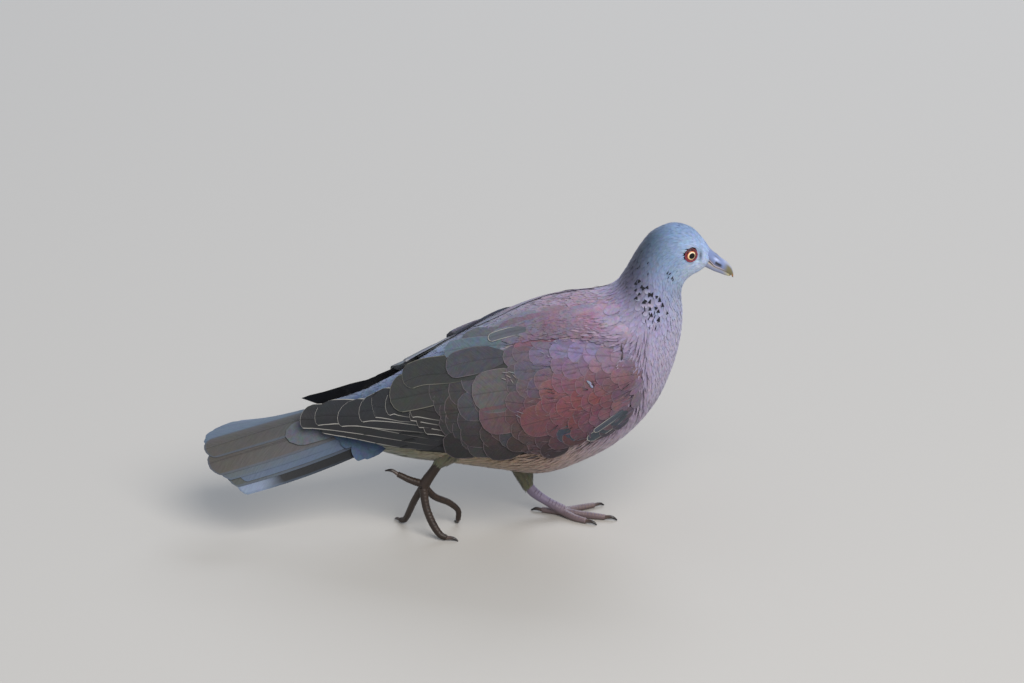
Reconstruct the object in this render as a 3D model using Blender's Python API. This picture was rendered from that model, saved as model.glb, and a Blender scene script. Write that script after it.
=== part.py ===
"""A life-size walking turtle dove with a long, slightly fanned tail.

Metres, +Z up. The dove faces +X, its right side is towards -Y, and the floor is z = 0.
The origin is under the middle of the whole bird. The near foot pushes off behind, on the
ends of its toes, and the far foot stands flat in front.
"""

import math

import bmesh
import bpy
import numpy as np
from mathutils import Matrix

MM = 0.001
GAP = 0.3            # between neighbouring pieces, mm
ROOM_DEPTH = 13.0    # how far outside the body the rooms cut for wings and tail reach, mm

# The body in side view, from the tail coverts to the base of the bill, in mm. A station is
# (x of the back, z of the back, x of the belly, z of the belly, half width).
BODY_STATIONS = {
    "coverts_end": (-64.0, 57.0, -62.0, 44.5, 8.0),
    "coverts": (-47.0, 68.5, -45.0, 39.6, 13.0),
    "vent": (-31.0, 77.0, -28.0, 35.4, 20.5),
    "rump": (-10.0, 91.0, -8.0, 33.4, 28.0),
    "loin": (14.0, 104.0, 14.0, 30.4, 33.5),
    "middle": (35.0, 112.5, 36.0, 28.4, 36.5),
    "shoulder": (50.0, 117.5, 57.0, 36.0, 36.5),
    "mantle": (59.0, 119.8, 74.0, 46.8, 34.5),
    "crop": (64.5, 121.8, 88.0, 62.5, 30.0),
    "breast": (68.0, 124.6, 96.0, 79.5, 24.5),
    "neck_base": (71.0, 128.8, 100.2, 95.0, 19.0),
    "neck": (74.6, 134.4, 101.2, 108.0, 15.2),
    "throat": (79.0, 141.0, 100.4, 118.2, 13.0),
    "nape": (86.0, 148.0, 102.0, 123.6, 12.3),
    "crown": (95.5, 152.3, 104.6, 126.6, 11.6),
    "brow": (104.5, 150.4, 108.0, 128.6, 9.6),
    "forehead": (111.0, 144.2, 110.8, 129.8, 6.8),
    "bill_base": (115.4, 137.6, 112.6, 130.6, 4.2),
}
NECK_STARTS = "breast"
HEAD_STARTS = "throat"
PARTING = 0.035                 # half of a thin cut, in stations
BODY_SIDES = 22                 # points round each ring
BODY_RINGS = {"trunk": 21, "neck": 7, "head": 13}
THIGH_ROOM = (8.0, 34)          # the stretch of body that trims the thighs, and its rings

# The folded wing, from the bend of the wing back to its tip, in mm. A station is
# (x, y and z of the upper edge, y and z of the lower edge, how far it bulges, thickness).
WING_STATIONS = {
    "bend": (82.0, 25.8, 92.0, 26.2, 85.0, 0.5, 1.2),
    "wrist": (79.5, 24.6, 101.0, 26.6, 73.0, 3.2, 2.2),
    "shoulder": (71.0, 23.4, 107.2, 28.0, 63.2, 7.4, 2.8),
    "front": (50.0, 19.2, 110.3, 29.6, 52.3, 12.2, 3.0),
    "middle": (28.0, 15.4, 107.2, 29.2, 47.2, 12.9, 3.0),
    "elbow": (2.0, 10.8, 97.6, 26.8, 45.7, 11.3, 2.8),
    "rump": (-20.0, 8.0, 86.2, 23.9, 46.0, 8.9, 2.4),
    "tertials": (-38.0, 7.2, 75.8, 20.8, 47.8, 6.3, 2.0),
    "primaries": (-56.0, 7.2, 68.4, 17.0, 51.9, 3.4, 1.7),
    "point": (-70.0, 8.0, 63.4, 13.0, 55.9, 1.5, 1.4),
    "tip": (-79.0, 9.2, 60.6, 10.0, 59.4, 0.3, 1.0),
}
COVERTS_END = 4.2       # in wing stations, counted from the bend
SECONDARIES_END = 8.0
WING_SLITS = (0.01, 0.006)      # half gaps between feather groups: along, and across
WING_GRIDS = {"coverts": (12, 9), "secondaries": (9, 7), "primaries": (9, 5), "tip": (8, 6)}
WING_ROOM = (25, 12, 0.025)     # rows, columns and how far its edges reach past the wing's

TAIL_ROOT = (-40.0, -0.3, 69.2)
TAIL_LENGTH = 88.0
TAIL_SLOPE = math.radians(17.2)
TAIL_YAW = math.radians(2.0)
TAIL_ROLL = math.radians(-12.0)
TAIL_HALF = (10.5, 28.5)        # half width at root and tip
TAIL_DROP = (23.0, 12.5)        # how far the outer feathers hang below the middle pair
TAIL_SAG = 4.5                  # and half way along, how much more
TAIL_STEP = 0.12                # how much shorter the outermost feathers are
TAIL_THICK = (3.2, 1.3)
TAIL_GRID = (8, 25)             # rows from root to tip, columns across
TAIL_ROOM_GRID = (8, 19)
FEATHER_ENDS = 0.016            # depth of the notches between the twelve feather ends

EYE_PLACE = (104.5, 6.6, 140.6)
EYE_RADIUS = 4.1
BILL_SIDES = 10
BILL_RINGS = 12

# Bill stations: (x of the ridge, z of the ridge, x of the keel, z of the keel, half width).
UPPER_BILL = (
    (115.9, 137.4, 114.3, 133.5, 3.9),
    (117.4, 136.0, 115.6, 132.0, 3.7),
    (119.4, 134.6, 118.2, 130.6, 3.1),
    (121.6, 133.1, 120.6, 129.2, 2.5),
    (123.5, 130.8, 122.4, 128.0, 1.8),
    (124.5, 127.8, 123.4, 127.0, 1.0),
    (124.5, 125.6, 124.1, 125.8, 0.4),
)
LOWER_BILL = (
    (114.1, 132.7, 113.3, 130.4, 3.4),
    (115.4, 131.6, 115.4, 129.2, 3.1),
    (118.0, 130.2, 118.0, 128.0, 2.5),
    (120.4, 128.8, 120.6, 126.9, 1.9),
    (122.2, 127.6, 122.2, 126.4, 1.1),
    (123.2, 126.6, 123.1, 126.2, 0.4),
)

# Leg pieces are lists of (x, y, z, radius) in mm. Each starts inside the piece it grows
# from and is trimmed to it. The left foot stands flat.
LEFT_LEG = {
    "thigh": ((22.0, 14.5, 44.0, 9.0), (24.6, 14.2, 30.0, 7.4), (26.8, 13.6, 20.5, 5.0),
              (28.4, 13.0, 14.6, 3.2)),
    "tarsus": ((28.2, 13.0, 15.0, 2.3), (31.6, 12.4, 11.0, 2.4), (37.0, 11.4, 7.4, 2.1),
               (42.4, 10.5, 4.4, 2.3), (45.2, 10.0, 2.9, 2.6)),
    "toe_1": ((44.4, 10.6, 1.9, 1.7), (40.2, 12.7, 1.4, 1.5), (35.4, 14.4, 1.3, 1.3)),
    "toe_2": ((45.4, 9.0, 2.2, 1.7), (50.6, 4.2, 1.5, 1.6), (56.2, 0.6, 1.3, 1.3)),
    "toe_3": ((45.6, 9.9, 2.4, 1.9), (52.4, 8.2, 1.7, 1.7), (58.8, 6.6, 1.5, 1.6),
              (65.2, 5.2, 1.3, 1.3)),
    "toe_4": ((45.4, 11.0, 2.2, 1.7), (50.4, 14.8, 1.5, 1.6), (55.6, 17.6, 1.4, 1.4),
              (60.2, 20.0, 1.3, 1.2)),
}
LEFT_CLAWS = {
    "claw_1": ((36.0, 14.2, 1.3, 0.9), (32.6, 15.4, 1.5, 0.8), (30.2, 16.2, 0.4, 0.3)),
    "claw_2": ((55.6, 1.0, 1.3, 0.9), (59.0, -0.7, 1.6, 0.8), (61.2, -1.8, 0.4, 0.3)),
    "claw_3": ((64.6, 5.3, 1.3, 1.0), (68.4, 4.5, 1.7, 0.8), (70.9, 4.0, 0.4, 0.3)),
    "claw_4": ((59.6, 19.7, 1.3, 0.9), (62.8, 21.3, 1.5, 0.7), (64.8, 22.4, 0.4, 0.3)),
}
# The right foot is behind, heel up, and touches with the ends of its front toes.
RIGHT_LEG = {
    "thigh": ((0.0, -15.0, 54.0, 9.0), (-6.0, -14.4, 46.0, 7.4), (-11.0, -13.4, 39.4, 4.6),
              (-12.8, -13.0, 37.2, 3.4)),
    "tarsus": ((-12.4, -13.1, 38.0, 2.3), (-16.0, -12.6, 32.2, 2.3), (-19.2, -12.2, 27.2, 2.6),
               (-20.6, -12.1, 24.8, 2.7)),
    "toe_1": ((-20.6, -12.0, 25.6, 1.9), (-26.6, -11.0, 27.2, 1.6), (-32.6, -10.4, 30.0, 1.3)),
    "toe_2": ((-20.2, -11.0, 24.2, 1.7), (-15.6, -7.4, 17.4, 1.6), (-8.6, -3.2, 12.4, 1.5),
              (-4.4, -1.2, 7.6, 1.3), (-4.4, -0.4, 2.4, 1.2)),
    "toe_3": ((-20.6, -12.8, 24.0, 2.0), (-19.4, -15.0, 15.6, 1.8), (-16.4, -17.2, 8.0, 1.8),
              (-12.8, -18.8, 2.8, 1.6), (-9.6, -19.6, 1.3, 1.3)),
    "toe_4": ((-21.0, -11.4, 24.0, 1.7), (-24.8, -8.0, 15.8, 1.6), (-27.4, -4.0, 8.2, 1.5),
              (-29.4, -0.6, 2.8, 1.4), (-31.6, 1.8, 1.3, 1.2)),
}
RIGHT_CLAWS = {
    "claw_1": ((-32.0, -10.5, 29.7, 0.9), (-35.4, -10.1, 31.8, 0.8), (-38.6, -9.8, 31.6, 0.3)),
    "claw_2": ((-4.4, -0.5, 2.8, 0.8), (-4.6, 1.2, 0.9, 0.7), (-6.0, 3.4, 0.4, 0.3)),
    "claw_3": ((-10.4, -19.4, 1.4, 1.0), (-6.6, -20.3, 1.5, 0.8), (-4.2, -21.0, 0.4, 0.3)),
    "claw_4": ((-31.2, 1.4, 1.3, 0.8), (-33.0, 4.0, 1.3, 0.7), (-34.2, 6.0, 0.4, 0.3)),
}

COLOURS = {
    "head": (0.30, 0.38, 0.53), "neck": (0.33, 0.31, 0.41), "trunk": (0.25, 0.19, 0.24),
    "wing": (0.13, 0.08, 0.09), "quill": (0.06, 0.06, 0.06), "tail": (0.12, 0.15, 0.19),
    "bill": (0.26, 0.25, 0.32), "eye": (0.30, 0.03, 0.02), "leg": (0.35, 0.22, 0.27),
    "claw": (0.03, 0.025, 0.025),
}


# ---------------------------------------------------------------- curves and meshes

def smooth(rows, at):
    """Reads rows of numbers at fractional row numbers, along a curve through every row."""
    rows = np.asarray(rows, float)
    last = len(rows) - 1
    padded = np.vstack([2 * rows[0] - rows[1], rows, 2 * rows[-1] - rows[-2]])
    at = np.clip(np.asarray(at, float), 0.0, last)
    low = np.minimum(at.astype(int), last - 1)
    t = (at - low)[..., None]
    before, start, end, after = (padded[low + k] for k in range(4))
    slope_in = 0.5 * (end - before)
    slope_out = 0.5 * (after - start)
    return (
        (2 * t**3 - 3 * t**2 + 1) * start
        + (t**3 - 2 * t**2 + t) * slope_in
        + (3 * t**2 - 2 * t**3) * end
        + (t**3 - t**2) * slope_out
    )


def add_mesh(name, points, faces, colour, roughness):
    """Links a closed mesh, given in millimetres, with its faces turned outward."""
    mesh = bpy.data.meshes.new(name)
    mesh.from_pydata((np.asarray(points) * MM).tolist(), [], faces)
    bm = bmesh.new()
    bm.from_mesh(mesh)
    bmesh.ops.remove_doubles(bm, verts=bm.verts, dist=1e-6)
    bmesh.ops.recalc_face_normals(bm, faces=bm.faces)
    bm.to_mesh(mesh)
    bm.free()
    mesh.shade_smooth()
    mesh.set_sharp_from_angle(angle=math.radians(50))
    piece = bpy.data.objects.new(name, mesh)
    bpy.context.scene.collection.objects.link(piece)
    mesh.materials.append(finish(name, COLOURS[colour], roughness))
    return piece


def finish(name, colour, roughness):
    """A plain Principled material for one piece."""
    material = bpy.data.materials.new(name)
    material.use_nodes = True
    shader = material.node_tree.nodes["Principled BSDF"]
    shader.inputs["Base Color"].default_value = (*colour, 1.0)
    shader.inputs["Roughness"].default_value = roughness
    shader.inputs["Metallic"].default_value = 0.0
    return material


def ring_faces(rings, count):
    """Quads between successive rings of points, and one face over each end."""
    faces = []
    for r in range(rings - 1):
        for k in range(count):
            after = (k + 1) % count
            a = r * count
            faces.append((a + k, a + after, a + count + after, a + count + k))
    faces.append(tuple(range(count - 1, -1, -1)))
    faces.append(tuple((rings - 1) * count + k for k in range(count)))
    return faces


def subtract(piece, cutter):
    """Cuts one piece away from another and applies the cut."""
    cut = piece.modifiers.new("cut", "BOOLEAN")
    cut.operation = "DIFFERENCE"
    cut.solver = "EXACT"
    cut.object = cutter
    bpy.context.view_layer.update()
    evaluated = piece.evaluated_get(bpy.context.evaluated_depsgraph_get())
    shape = bpy.data.meshes.new_from_object(evaluated)
    piece.modifiers.remove(cut)
    piece.data = shape


def as_cutter(piece):
    """Marks an object as a cutter, which isn't part of the bird."""
    piece.hide_render = True
    piece.display_type = "WIRE"
    return piece


# ---------------------------------------------------------------- body

def body_sections(first, last, count, grow=0.0):
    """Rings across the body between two stations: ovals between back and belly, a little
    wider above the middle than below it."""
    rows = smooth(list(BODY_STATIONS.values()), np.linspace(first, last, count))
    angle = np.linspace(0, 2 * math.pi, BODY_SIDES, endpoint=False)[None, :]
    back = rows[:, 0:2][:, None, :]
    belly = rows[:, 2:4][:, None, :]
    middle = (back + belly) / 2
    rise = (back - belly) / 2
    half_height = np.linalg.norm(rise, axis=2, keepdims=True)
    rise = rise * (1 + grow / half_height)
    half_width = rows[:, 4][:, None] + grow
    side = middle + rise * np.cos(angle)[..., None]
    across = half_width * np.sin(angle) * (1 + 0.08 * np.cos(angle))
    return np.stack([side[..., 0], across, side[..., 1]], axis=-1)


def body_piece(name, first, last, count, colour, grow=0.0):
    """A closed stretch of the body between two stations."""
    rings = body_sections(first, last, count, grow)
    points = rings.reshape(-1, 3)
    return add_mesh(name, points, ring_faces(count, BODY_SIDES), colour, 0.8)


def make_body():
    """Trunk, neck and head: one shape, parted by thin cuts."""
    names = list(BODY_STATIONS)
    neck = float(names.index(NECK_STARTS))
    head = float(names.index(HEAD_STARTS))
    end = float(len(names) - 1)
    ends = {
        "trunk": (0.0, neck - PARTING),
        "neck": (neck + PARTING, head - PARTING),
        "head": (head + PARTING, end),
    }
    pieces = {
        name: body_piece(name, *ends[name], rings, name) for name, rings in BODY_RINGS.items()
    }
    return pieces["trunk"], pieces["head"]


# ---------------------------------------------------------------- wings

def wing_surface(along, across, side, offset):
    """Points on a folded wing. `along` counts stations, `across` runs 0 to 1 from the upper
    edge to the lower one, and offset is how far outside the inner face the points lie."""
    rows = smooth(list(WING_STATIONS.values()), along)
    x, up_y, up_z, low_y, low_z, bulge = (rows[..., k] for k in range(6))
    fall_y = low_y - up_y
    fall_z = low_z - up_z
    length = np.hypot(fall_y, fall_z) + 1e-6
    out_y = -fall_z / length
    out_z = fall_y / length
    push = bulge * np.sin(math.pi * across) + offset
    y = up_y + fall_y * across + out_y * push
    z = up_z + fall_z * across + out_z * push
    return np.stack([x, side * y, z], axis=-1)


def shell_faces(rows, columns):
    """Faces of a thin closed shell: an outer grid, an inner grid, and the rim between."""
    size = rows * columns
    faces = []
    for r in range(rows - 1):
        for c in range(columns - 1):
            a = r * columns + c
            faces.append((a, a + 1, a + columns + 1, a + columns))
            faces.append((size + a, size + a + columns, size + a + columns + 1, size + a + 1))
    rim = [c for c in range(columns - 1)]
    rim += [r * columns + columns - 1 for r in range(rows - 1)]
    rim += [(rows - 1) * columns + c for c in range(columns - 1, 0, -1)]
    rim += [r * columns for r in range(rows - 1, 0, -1)]
    for k, a in enumerate(rim):
        b = rim[(k + 1) % len(rim)]
        faces.append((a, size + a, size + b, b))
    return faces


def wing_patch(group, word, side, ends, edges, colour):
    """One closed group of wing feathers. `ends` are its first and last stations, and `edges`
    gives its upper and lower limits."""
    rows, columns = WING_GRIDS[group]
    start, end = ends
    along = np.linspace(start, end, rows)[:, None] * np.ones((1, columns))
    upper, lower = edges(along)
    share = np.linspace(0, 1, columns)[None, :] * np.ones((rows, 1))
    across = upper + (lower - upper) * share
    thick = smooth(list(WING_STATIONS.values()), along)[..., 6]
    rim = np.minimum(np.minimum(share, 1 - share) * 6, 1.0)
    thick = thick * (0.45 + 0.55 * rim)
    inner = wing_surface(along, across, side, np.zeros_like(thick))
    outer = wing_surface(along, across, side, thick)
    points = np.concatenate([outer.reshape(-1, 3), inner.reshape(-1, 3)])
    name = f"wing_{word}_{group}"
    return add_mesh(name, points, shell_faces(rows, columns), colour, 0.7)


def quill_line(along):
    """Where the long secondaries end and the primaries show below them."""
    return np.interp(along, (COVERTS_END, 5.5, 7.0, SECONDARIES_END), (0.90, 0.80, 0.58, 0.30))


def wing_cutter(side):
    """The room a wing takes, a gap wider than it, and open to the outside."""
    rows, columns, margin = WING_ROOM
    along, across = np.meshgrid(
        np.linspace(0.0, len(WING_STATIONS) - 1.0, rows),
        np.linspace(-margin, 1 + margin, columns),
        indexing="ij",
    )
    inner = wing_surface(along, across, side, -GAP * (2 + 2 * np.exp(-along)))
    outer = wing_surface(along, across, side, np.full_like(along, ROOM_DEPTH))
    for face in (inner, outer):
        face[0, :, 0] += 3 * GAP
    points = np.concatenate([outer.reshape(-1, 3), inner.reshape(-1, 3)])
    return as_cutter(add_mesh("wing_room", points, shell_faces(rows, columns), "wing", 0.7))


def make_wings(trunk):
    """Both folded wings, let into the sides of the trunk."""
    gap_along, gap_across = WING_SLITS
    last = len(WING_STATIONS) - 1.0
    behind_coverts = (COVERTS_END + gap_along, SECONDARIES_END - 3 * gap_along)

    def whole(along):
        return np.zeros_like(along), np.ones_like(along)

    def above(along):
        return np.zeros_like(along), quill_line(along) - gap_across

    def below(along):
        near_tip = along > SECONDARIES_END
        return np.where(near_tip, 0.0, quill_line(along) + gap_across), np.ones_like(along)

    for word, side in (("left", 1.0), ("right", -1.0)):
        subtract(trunk, wing_cutter(side))
        wing_patch("coverts", word, side, (0.0, COVERTS_END - gap_along), whole, "wing")
        wing_patch("secondaries", word, side, behind_coverts, above, "quill")
        wing_patch("primaries", word, side, behind_coverts, below, "quill")
        wing_patch("tip", word, side, (SECONDARIES_END, last), whole, "quill")


# ---------------------------------------------------------------- tail

def tail_point(along, across, depth):
    """A point of the fanned tail: `along` 0 to 1 from root to tip, `across` -1 to 1 from
    the right edge to the left, `depth` mm below its upper face."""
    reach = TAIL_LENGTH * along * (1 - TAIL_STEP * across**2)
    wide = (TAIL_HALF[0] + (TAIL_HALF[1] - TAIL_HALF[0]) * along) * across
    sag = TAIL_SAG * np.sin(math.pi * np.clip(along, 0, 1))
    fall = TAIL_DROP[0] + (TAIL_DROP[1] - TAIL_DROP[0]) * along + sag
    drop = fall * np.abs(across) ** 1.6
    roll = TAIL_ROLL * along
    low = -drop - depth
    y = wide * np.cos(roll) + low * np.sin(roll)
    z = low * np.cos(roll) - wide * np.sin(roll)
    x = -reach * math.cos(TAIL_SLOPE)
    y = y - reach * math.sin(TAIL_YAW)
    z = z - reach * math.sin(TAIL_SLOPE)
    root_x, root_y, root_z = TAIL_ROOT
    return np.stack([root_x + x, root_y + y, root_z + z], axis=-1)


def tail_shell(name, grid, margin, rise):
    """A closed roof of tail feathers, `margin` mm bigger all round and `rise` mm higher. Its
    end is notched between the twelve feathers."""
    rows, columns = grid
    edge = 1 + margin / TAIL_HALF[0]
    along, across = np.meshgrid(
        np.linspace(-margin / TAIL_LENGTH, 1, rows),
        np.linspace(-edge, edge, columns),
        indexing="ij",
    )
    notch = 1 - np.abs(np.cos(6 * math.pi * across))
    along = along - FEATHER_ENDS * notch * np.clip(along, 0, 1) ** 6
    thick = TAIL_THICK[0] + (TAIL_THICK[1] - TAIL_THICK[0]) * along
    upper = tail_point(along, across, np.full_like(along, -rise))
    lower = tail_point(along, across, thick * (1 - 0.3 * across**4) + 2 * margin)
    points = np.concatenate([upper.reshape(-1, 3), lower.reshape(-1, 3)])
    return add_mesh(name, points, shell_faces(rows, columns), "tail", 0.7)


def make_tail(trunk):
    """The long tail feathers as one thin roof, fanned and turned a little to the right. The
    trunk is cut back round its root."""
    subtract(trunk, as_cutter(tail_shell("tail_room", TAIL_ROOM_GRID, GAP, ROOM_DEPTH)))
    tail_shell("tail", TAIL_GRID, 0.0, 0.0)


# ---------------------------------------------------------------- head

def bill_half(name, stations):
    """One half of the bill, a loft of small ovals from the face to the tip."""
    rows = smooth(stations, np.linspace(0, len(stations) - 1, BILL_RINGS))
    angle = np.linspace(0, 2 * math.pi, BILL_SIDES, endpoint=False)[None, :]
    ridge = rows[:, 0:2][:, None, :]
    keel = rows[:, 2:4][:, None, :]
    side = (ridge + keel) / 2 + (ridge - keel) / 2 * np.cos(angle)[..., None]
    across = rows[:, 4][:, None] * np.sin(angle)
    points = np.stack([side[..., 0], across, side[..., 1]], axis=-1).reshape(-1, 3)
    return add_mesh(name, points, ring_faces(BILL_RINGS, BILL_SIDES), "bill", 0.4)


def ball(name, place, radius, colour):
    """A sphere, made as a turned ring of points."""
    mesh = bpy.data.meshes.new(name)
    bm = bmesh.new()
    bmesh.ops.create_uvsphere(bm, u_segments=14, v_segments=8, radius=radius * MM)
    bmesh.ops.translate(bm, verts=bm.verts, vec=[value * MM for value in place])
    bm.to_mesh(mesh)
    bm.free()
    mesh.shade_smooth()
    piece = bpy.data.objects.new(name, mesh)
    bpy.context.scene.collection.objects.link(piece)
    mesh.materials.append(finish(name, COLOURS[colour], 0.1))
    return piece


def make_face(skull):
    """Eyes in round sockets, and the two halves of the bill."""
    x, y, z = EYE_PLACE
    for word, side in (("left", 1.0), ("right", -1.0)):
        place = (x, side * y, z)
        subtract(skull, as_cutter(ball("socket", place, EYE_RADIUS + GAP, "eye")))
        ball(f"eye_{word}", place, EYE_RADIUS, "eye")
    bill_half("upper_bill", UPPER_BILL)
    bill_half("lower_bill", LOWER_BILL)


# ---------------------------------------------------------------- legs

def limb(name, stations, colour, sides, steps, grow=0.0):
    """A round limb through stations of place and radius, flat where it meets the floor, and
    `grow` mm bigger all round."""
    count = (len(stations) - 1) * steps + 1
    rows = smooth(stations, np.linspace(0, len(stations) - 1, count))
    path, radius = rows[:, :3], rows[:, 3] + grow
    ahead = np.gradient(path, axis=0)
    ahead /= np.linalg.norm(ahead, axis=1, keepdims=True)
    path[0] -= ahead[0] * grow
    path[-1] += ahead[-1] * grow
    guide = np.array([0.0, 0.0, 1.0]) if abs(ahead[0, 2]) < 0.7 else np.array([1.0, 0.0, 0.0])
    aside = np.cross(ahead, guide)
    aside /= np.linalg.norm(aside, axis=1, keepdims=True)
    above = np.cross(aside, ahead)
    angle = (np.arange(sides) + 0.5) * 2 * math.pi / sides
    spread = (
        aside[:, None, :] * np.sin(angle)[None, :, None]
        + above[:, None, :] * np.cos(angle)[None, :, None]
    )
    points = path[:, None, :] + spread * radius[:, None, None]
    points[..., 2] = np.maximum(points[..., 2], -grow)
    return add_mesh(name, points.reshape(-1, 3), ring_faces(count, sides), colour, 0.5)


def make_leg(word, pieces, claws, body_room):
    """A feathered thigh, a bare shank, four toes and their claws. Each piece is trimmed to
    the ones it grows from, which leaves a fine gap at the joint."""
    grows_from = {
        "thigh": (), "tarsus": ("thigh",), "toe_1": ("tarsus",), "toe_3": ("tarsus", "toe_1"),
        "toe_2": ("tarsus", "toe_1", "toe_3"), "toe_4": ("tarsus", "toe_1", "toe_2", "toe_3"),
        "claw_1": ("toe_1",), "claw_2": ("toe_2",), "claw_3": ("toe_3",), "claw_4": ("toe_4",),
    }
    sizes = {"thigh": ("trunk", 12, 4), "tarsus": ("leg", 10, 3)}
    rooms = {"body": body_room}
    for part, parents in grows_from.items():
        stations = {**pieces, **claws}[part]
        usual = ("claw", 6, 2) if part in claws else ("leg", 8, 3)
        colour, sides, steps = sizes.get(part, usual)
        piece = limb(f"{part}_{word}", stations, colour, sides, steps)
        trims = parents + (("body",) if part in sizes else ())
        for trim in trims:
            subtract(piece, rooms[trim])
        rooms[part] = as_cutter(limb(f"{part}_room", stations, colour, sides, steps, GAP))


# ---------------------------------------------------------------- the whole bird

def stand_on_origin():
    """Moves every piece alike, so that the middle of the bird's box stands over the origin."""
    pieces = [o for o in bpy.data.objects if not o.hide_render]
    corners = np.array([v.co for o in pieces for v in o.data.vertices])
    middle = (corners.min(axis=0) + corners.max(axis=0)) / 2
    for o in pieces:
        o.data.transform(Matrix.Translation((-middle[0], -middle[1], 0.0)))


for old in list(bpy.data.objects):
    bpy.data.objects.remove(old)

trunk_piece, head_piece = make_body()
room = as_cutter(body_piece("body_room", 0.0, *THIGH_ROOM, "trunk", GAP))
make_wings(trunk_piece)
make_tail(trunk_piece)
make_face(head_piece)
make_leg("left", LEFT_LEG, LEFT_CLAWS, room)
make_leg("right", RIGHT_LEG, RIGHT_CLAWS, room)
stand_on_origin()
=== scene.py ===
"""A life-size Madagascar turtle dove, walking: its skin, coat of feathers, bill, eyes and feet.

Lengths in the sections are millimetres. They are turned to metres as each mesh is made.
"""

import math

import bpy
import numpy as np
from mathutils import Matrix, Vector, kdtree


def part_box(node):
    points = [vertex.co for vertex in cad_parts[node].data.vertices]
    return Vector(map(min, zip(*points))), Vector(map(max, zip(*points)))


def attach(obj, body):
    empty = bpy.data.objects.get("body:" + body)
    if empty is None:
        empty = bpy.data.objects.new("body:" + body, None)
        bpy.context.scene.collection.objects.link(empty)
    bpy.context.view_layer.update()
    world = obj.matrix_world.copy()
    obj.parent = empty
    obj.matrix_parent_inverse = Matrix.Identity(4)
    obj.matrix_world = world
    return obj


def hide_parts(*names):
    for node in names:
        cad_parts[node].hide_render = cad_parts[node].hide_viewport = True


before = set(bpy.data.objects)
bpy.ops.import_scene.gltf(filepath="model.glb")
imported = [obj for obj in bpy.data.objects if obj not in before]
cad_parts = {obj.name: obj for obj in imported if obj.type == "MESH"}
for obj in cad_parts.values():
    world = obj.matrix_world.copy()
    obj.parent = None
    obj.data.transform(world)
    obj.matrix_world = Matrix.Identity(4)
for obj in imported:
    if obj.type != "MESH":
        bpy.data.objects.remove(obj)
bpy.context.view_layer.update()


# ================================================================ studio
# A plain matt floor of pale paper, one large soft lamp high in front of the bird's right
# side, a weaker one behind it, and an even pale surround. The camera is a long lens that
# looks down at the bird's right side.

CAMERA_AIM = Vector((0.0209, 0.0063, 0.0906))
CAMERA_DISTANCE = 4.0
CAMERA_DROP = math.radians(22)      # how far the camera looks down
CAMERA_LENS = 299.5
CAMERA_REACH = 30.0
FLOOR_HALF = 9.0
# Each lamp's place, size, power and colour. Distances in the studio are metres.
LAMPS = {
    "lamp_key": ((0.8, -1.9, 2.0), 1.8, 84.0, "#fffaf4"),
    "lamp_back": ((0.6, 1.8, 1.6), 1.4, 30.0, "#eaf1ff"),
}
SURROUND = ("#dfe8f5", 0.62)


def linear(code):
    """The linear red, green and blue of an sRGB hex colour."""
    part = np.array([int(code[k:k + 2], 16) for k in (1, 3, 5)]) / 255
    return np.where(part <= 0.04045, part / 12.92, ((part + 0.055) / 1.055) ** 2.4)


def rgba(code):
    """The same colour as four numbers, as a shader's socket takes it."""
    return (*linear(code), 1.0)


def add_node(tree, kind, inputs=None, **settings):
    """Adds a shader node, sets its options and fills its inputs with values or links."""
    new = tree.nodes.new("ShaderNode" + kind)
    for name, value in settings.items():
        setattr(new, name, value)
    for name, value in (inputs or {}).items():
        if isinstance(value, bpy.types.NodeSocket):
            tree.links.new(value, new.inputs[name])
        else:
            new.inputs[name].default_value = value
    return new


def start_material(name, **surface):
    """A material with one Principled shader, whose sockets take the given values."""
    material = bpy.data.materials.new(name)
    material.use_nodes = True
    tree = material.node_tree
    shader = tree.nodes["Principled BSDF"]
    for word, value in surface.items():
        shader.inputs[word.replace("_", " ").title()].default_value = value
    return material, tree, shader


def floor_paper():
    """Matt pale paper: it scatters light evenly and gives almost no reflection."""
    material, _, shader = start_material("floor_paper", roughness=0.95)
    shader.inputs["Base Color"].default_value = rgba("#b1aea9")
    shader.inputs["Specular IOR Level"].default_value = 0.1
    return material


def link_object(name, data):
    """A new object for a mesh, a lamp or a camera, linked to the scene."""
    new = bpy.data.objects.new(name, data)
    bpy.context.scene.collection.objects.link(new)
    return new


floor_mesh = bpy.data.meshes.new("floor")
floor_corners = [(x * FLOOR_HALF, y * FLOOR_HALF, 0) for x, y in ((-1, -1), (1, -1), (1, 1), (-1, 1))]
floor_mesh.from_pydata(floor_corners, [], [(0, 1, 2, 3)])
floor_mesh.materials.append(floor_paper())
floor = link_object("floor", floor_mesh)

for name, (place, size, watts, colour) in LAMPS.items():
    light = bpy.data.lights.new(name, "AREA")
    light.size = size
    light.energy = watts
    light.color = linear(colour)
    lamp = link_object(name, light)
    lamp.location = place
    lamp.rotation_euler = (CAMERA_AIM - Vector(place)).to_track_quat("-Z", "Y").to_euler()

world = bpy.data.worlds.new("surround")
world.use_nodes = True
surround = world.node_tree.nodes["Background"]
surround.inputs["Color"].default_value = rgba(SURROUND[0])
surround.inputs["Strength"].default_value = SURROUND[1]
bpy.context.scene.world = world
bpy.context.scene.view_settings.view_transform = "Standard"

camera = link_object("camera", bpy.data.cameras.new("camera"))
camera.data.lens = CAMERA_LENS
camera.data.clip_end = CAMERA_REACH
back_off = Vector((0, -math.cos(CAMERA_DROP), math.sin(CAMERA_DROP)))
camera.location = CAMERA_AIM + back_off * CAMERA_DISTANCE
camera.rotation_euler = (math.radians(90) - CAMERA_DROP, 0, 0)
bpy.context.scene.camera = camera


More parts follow.
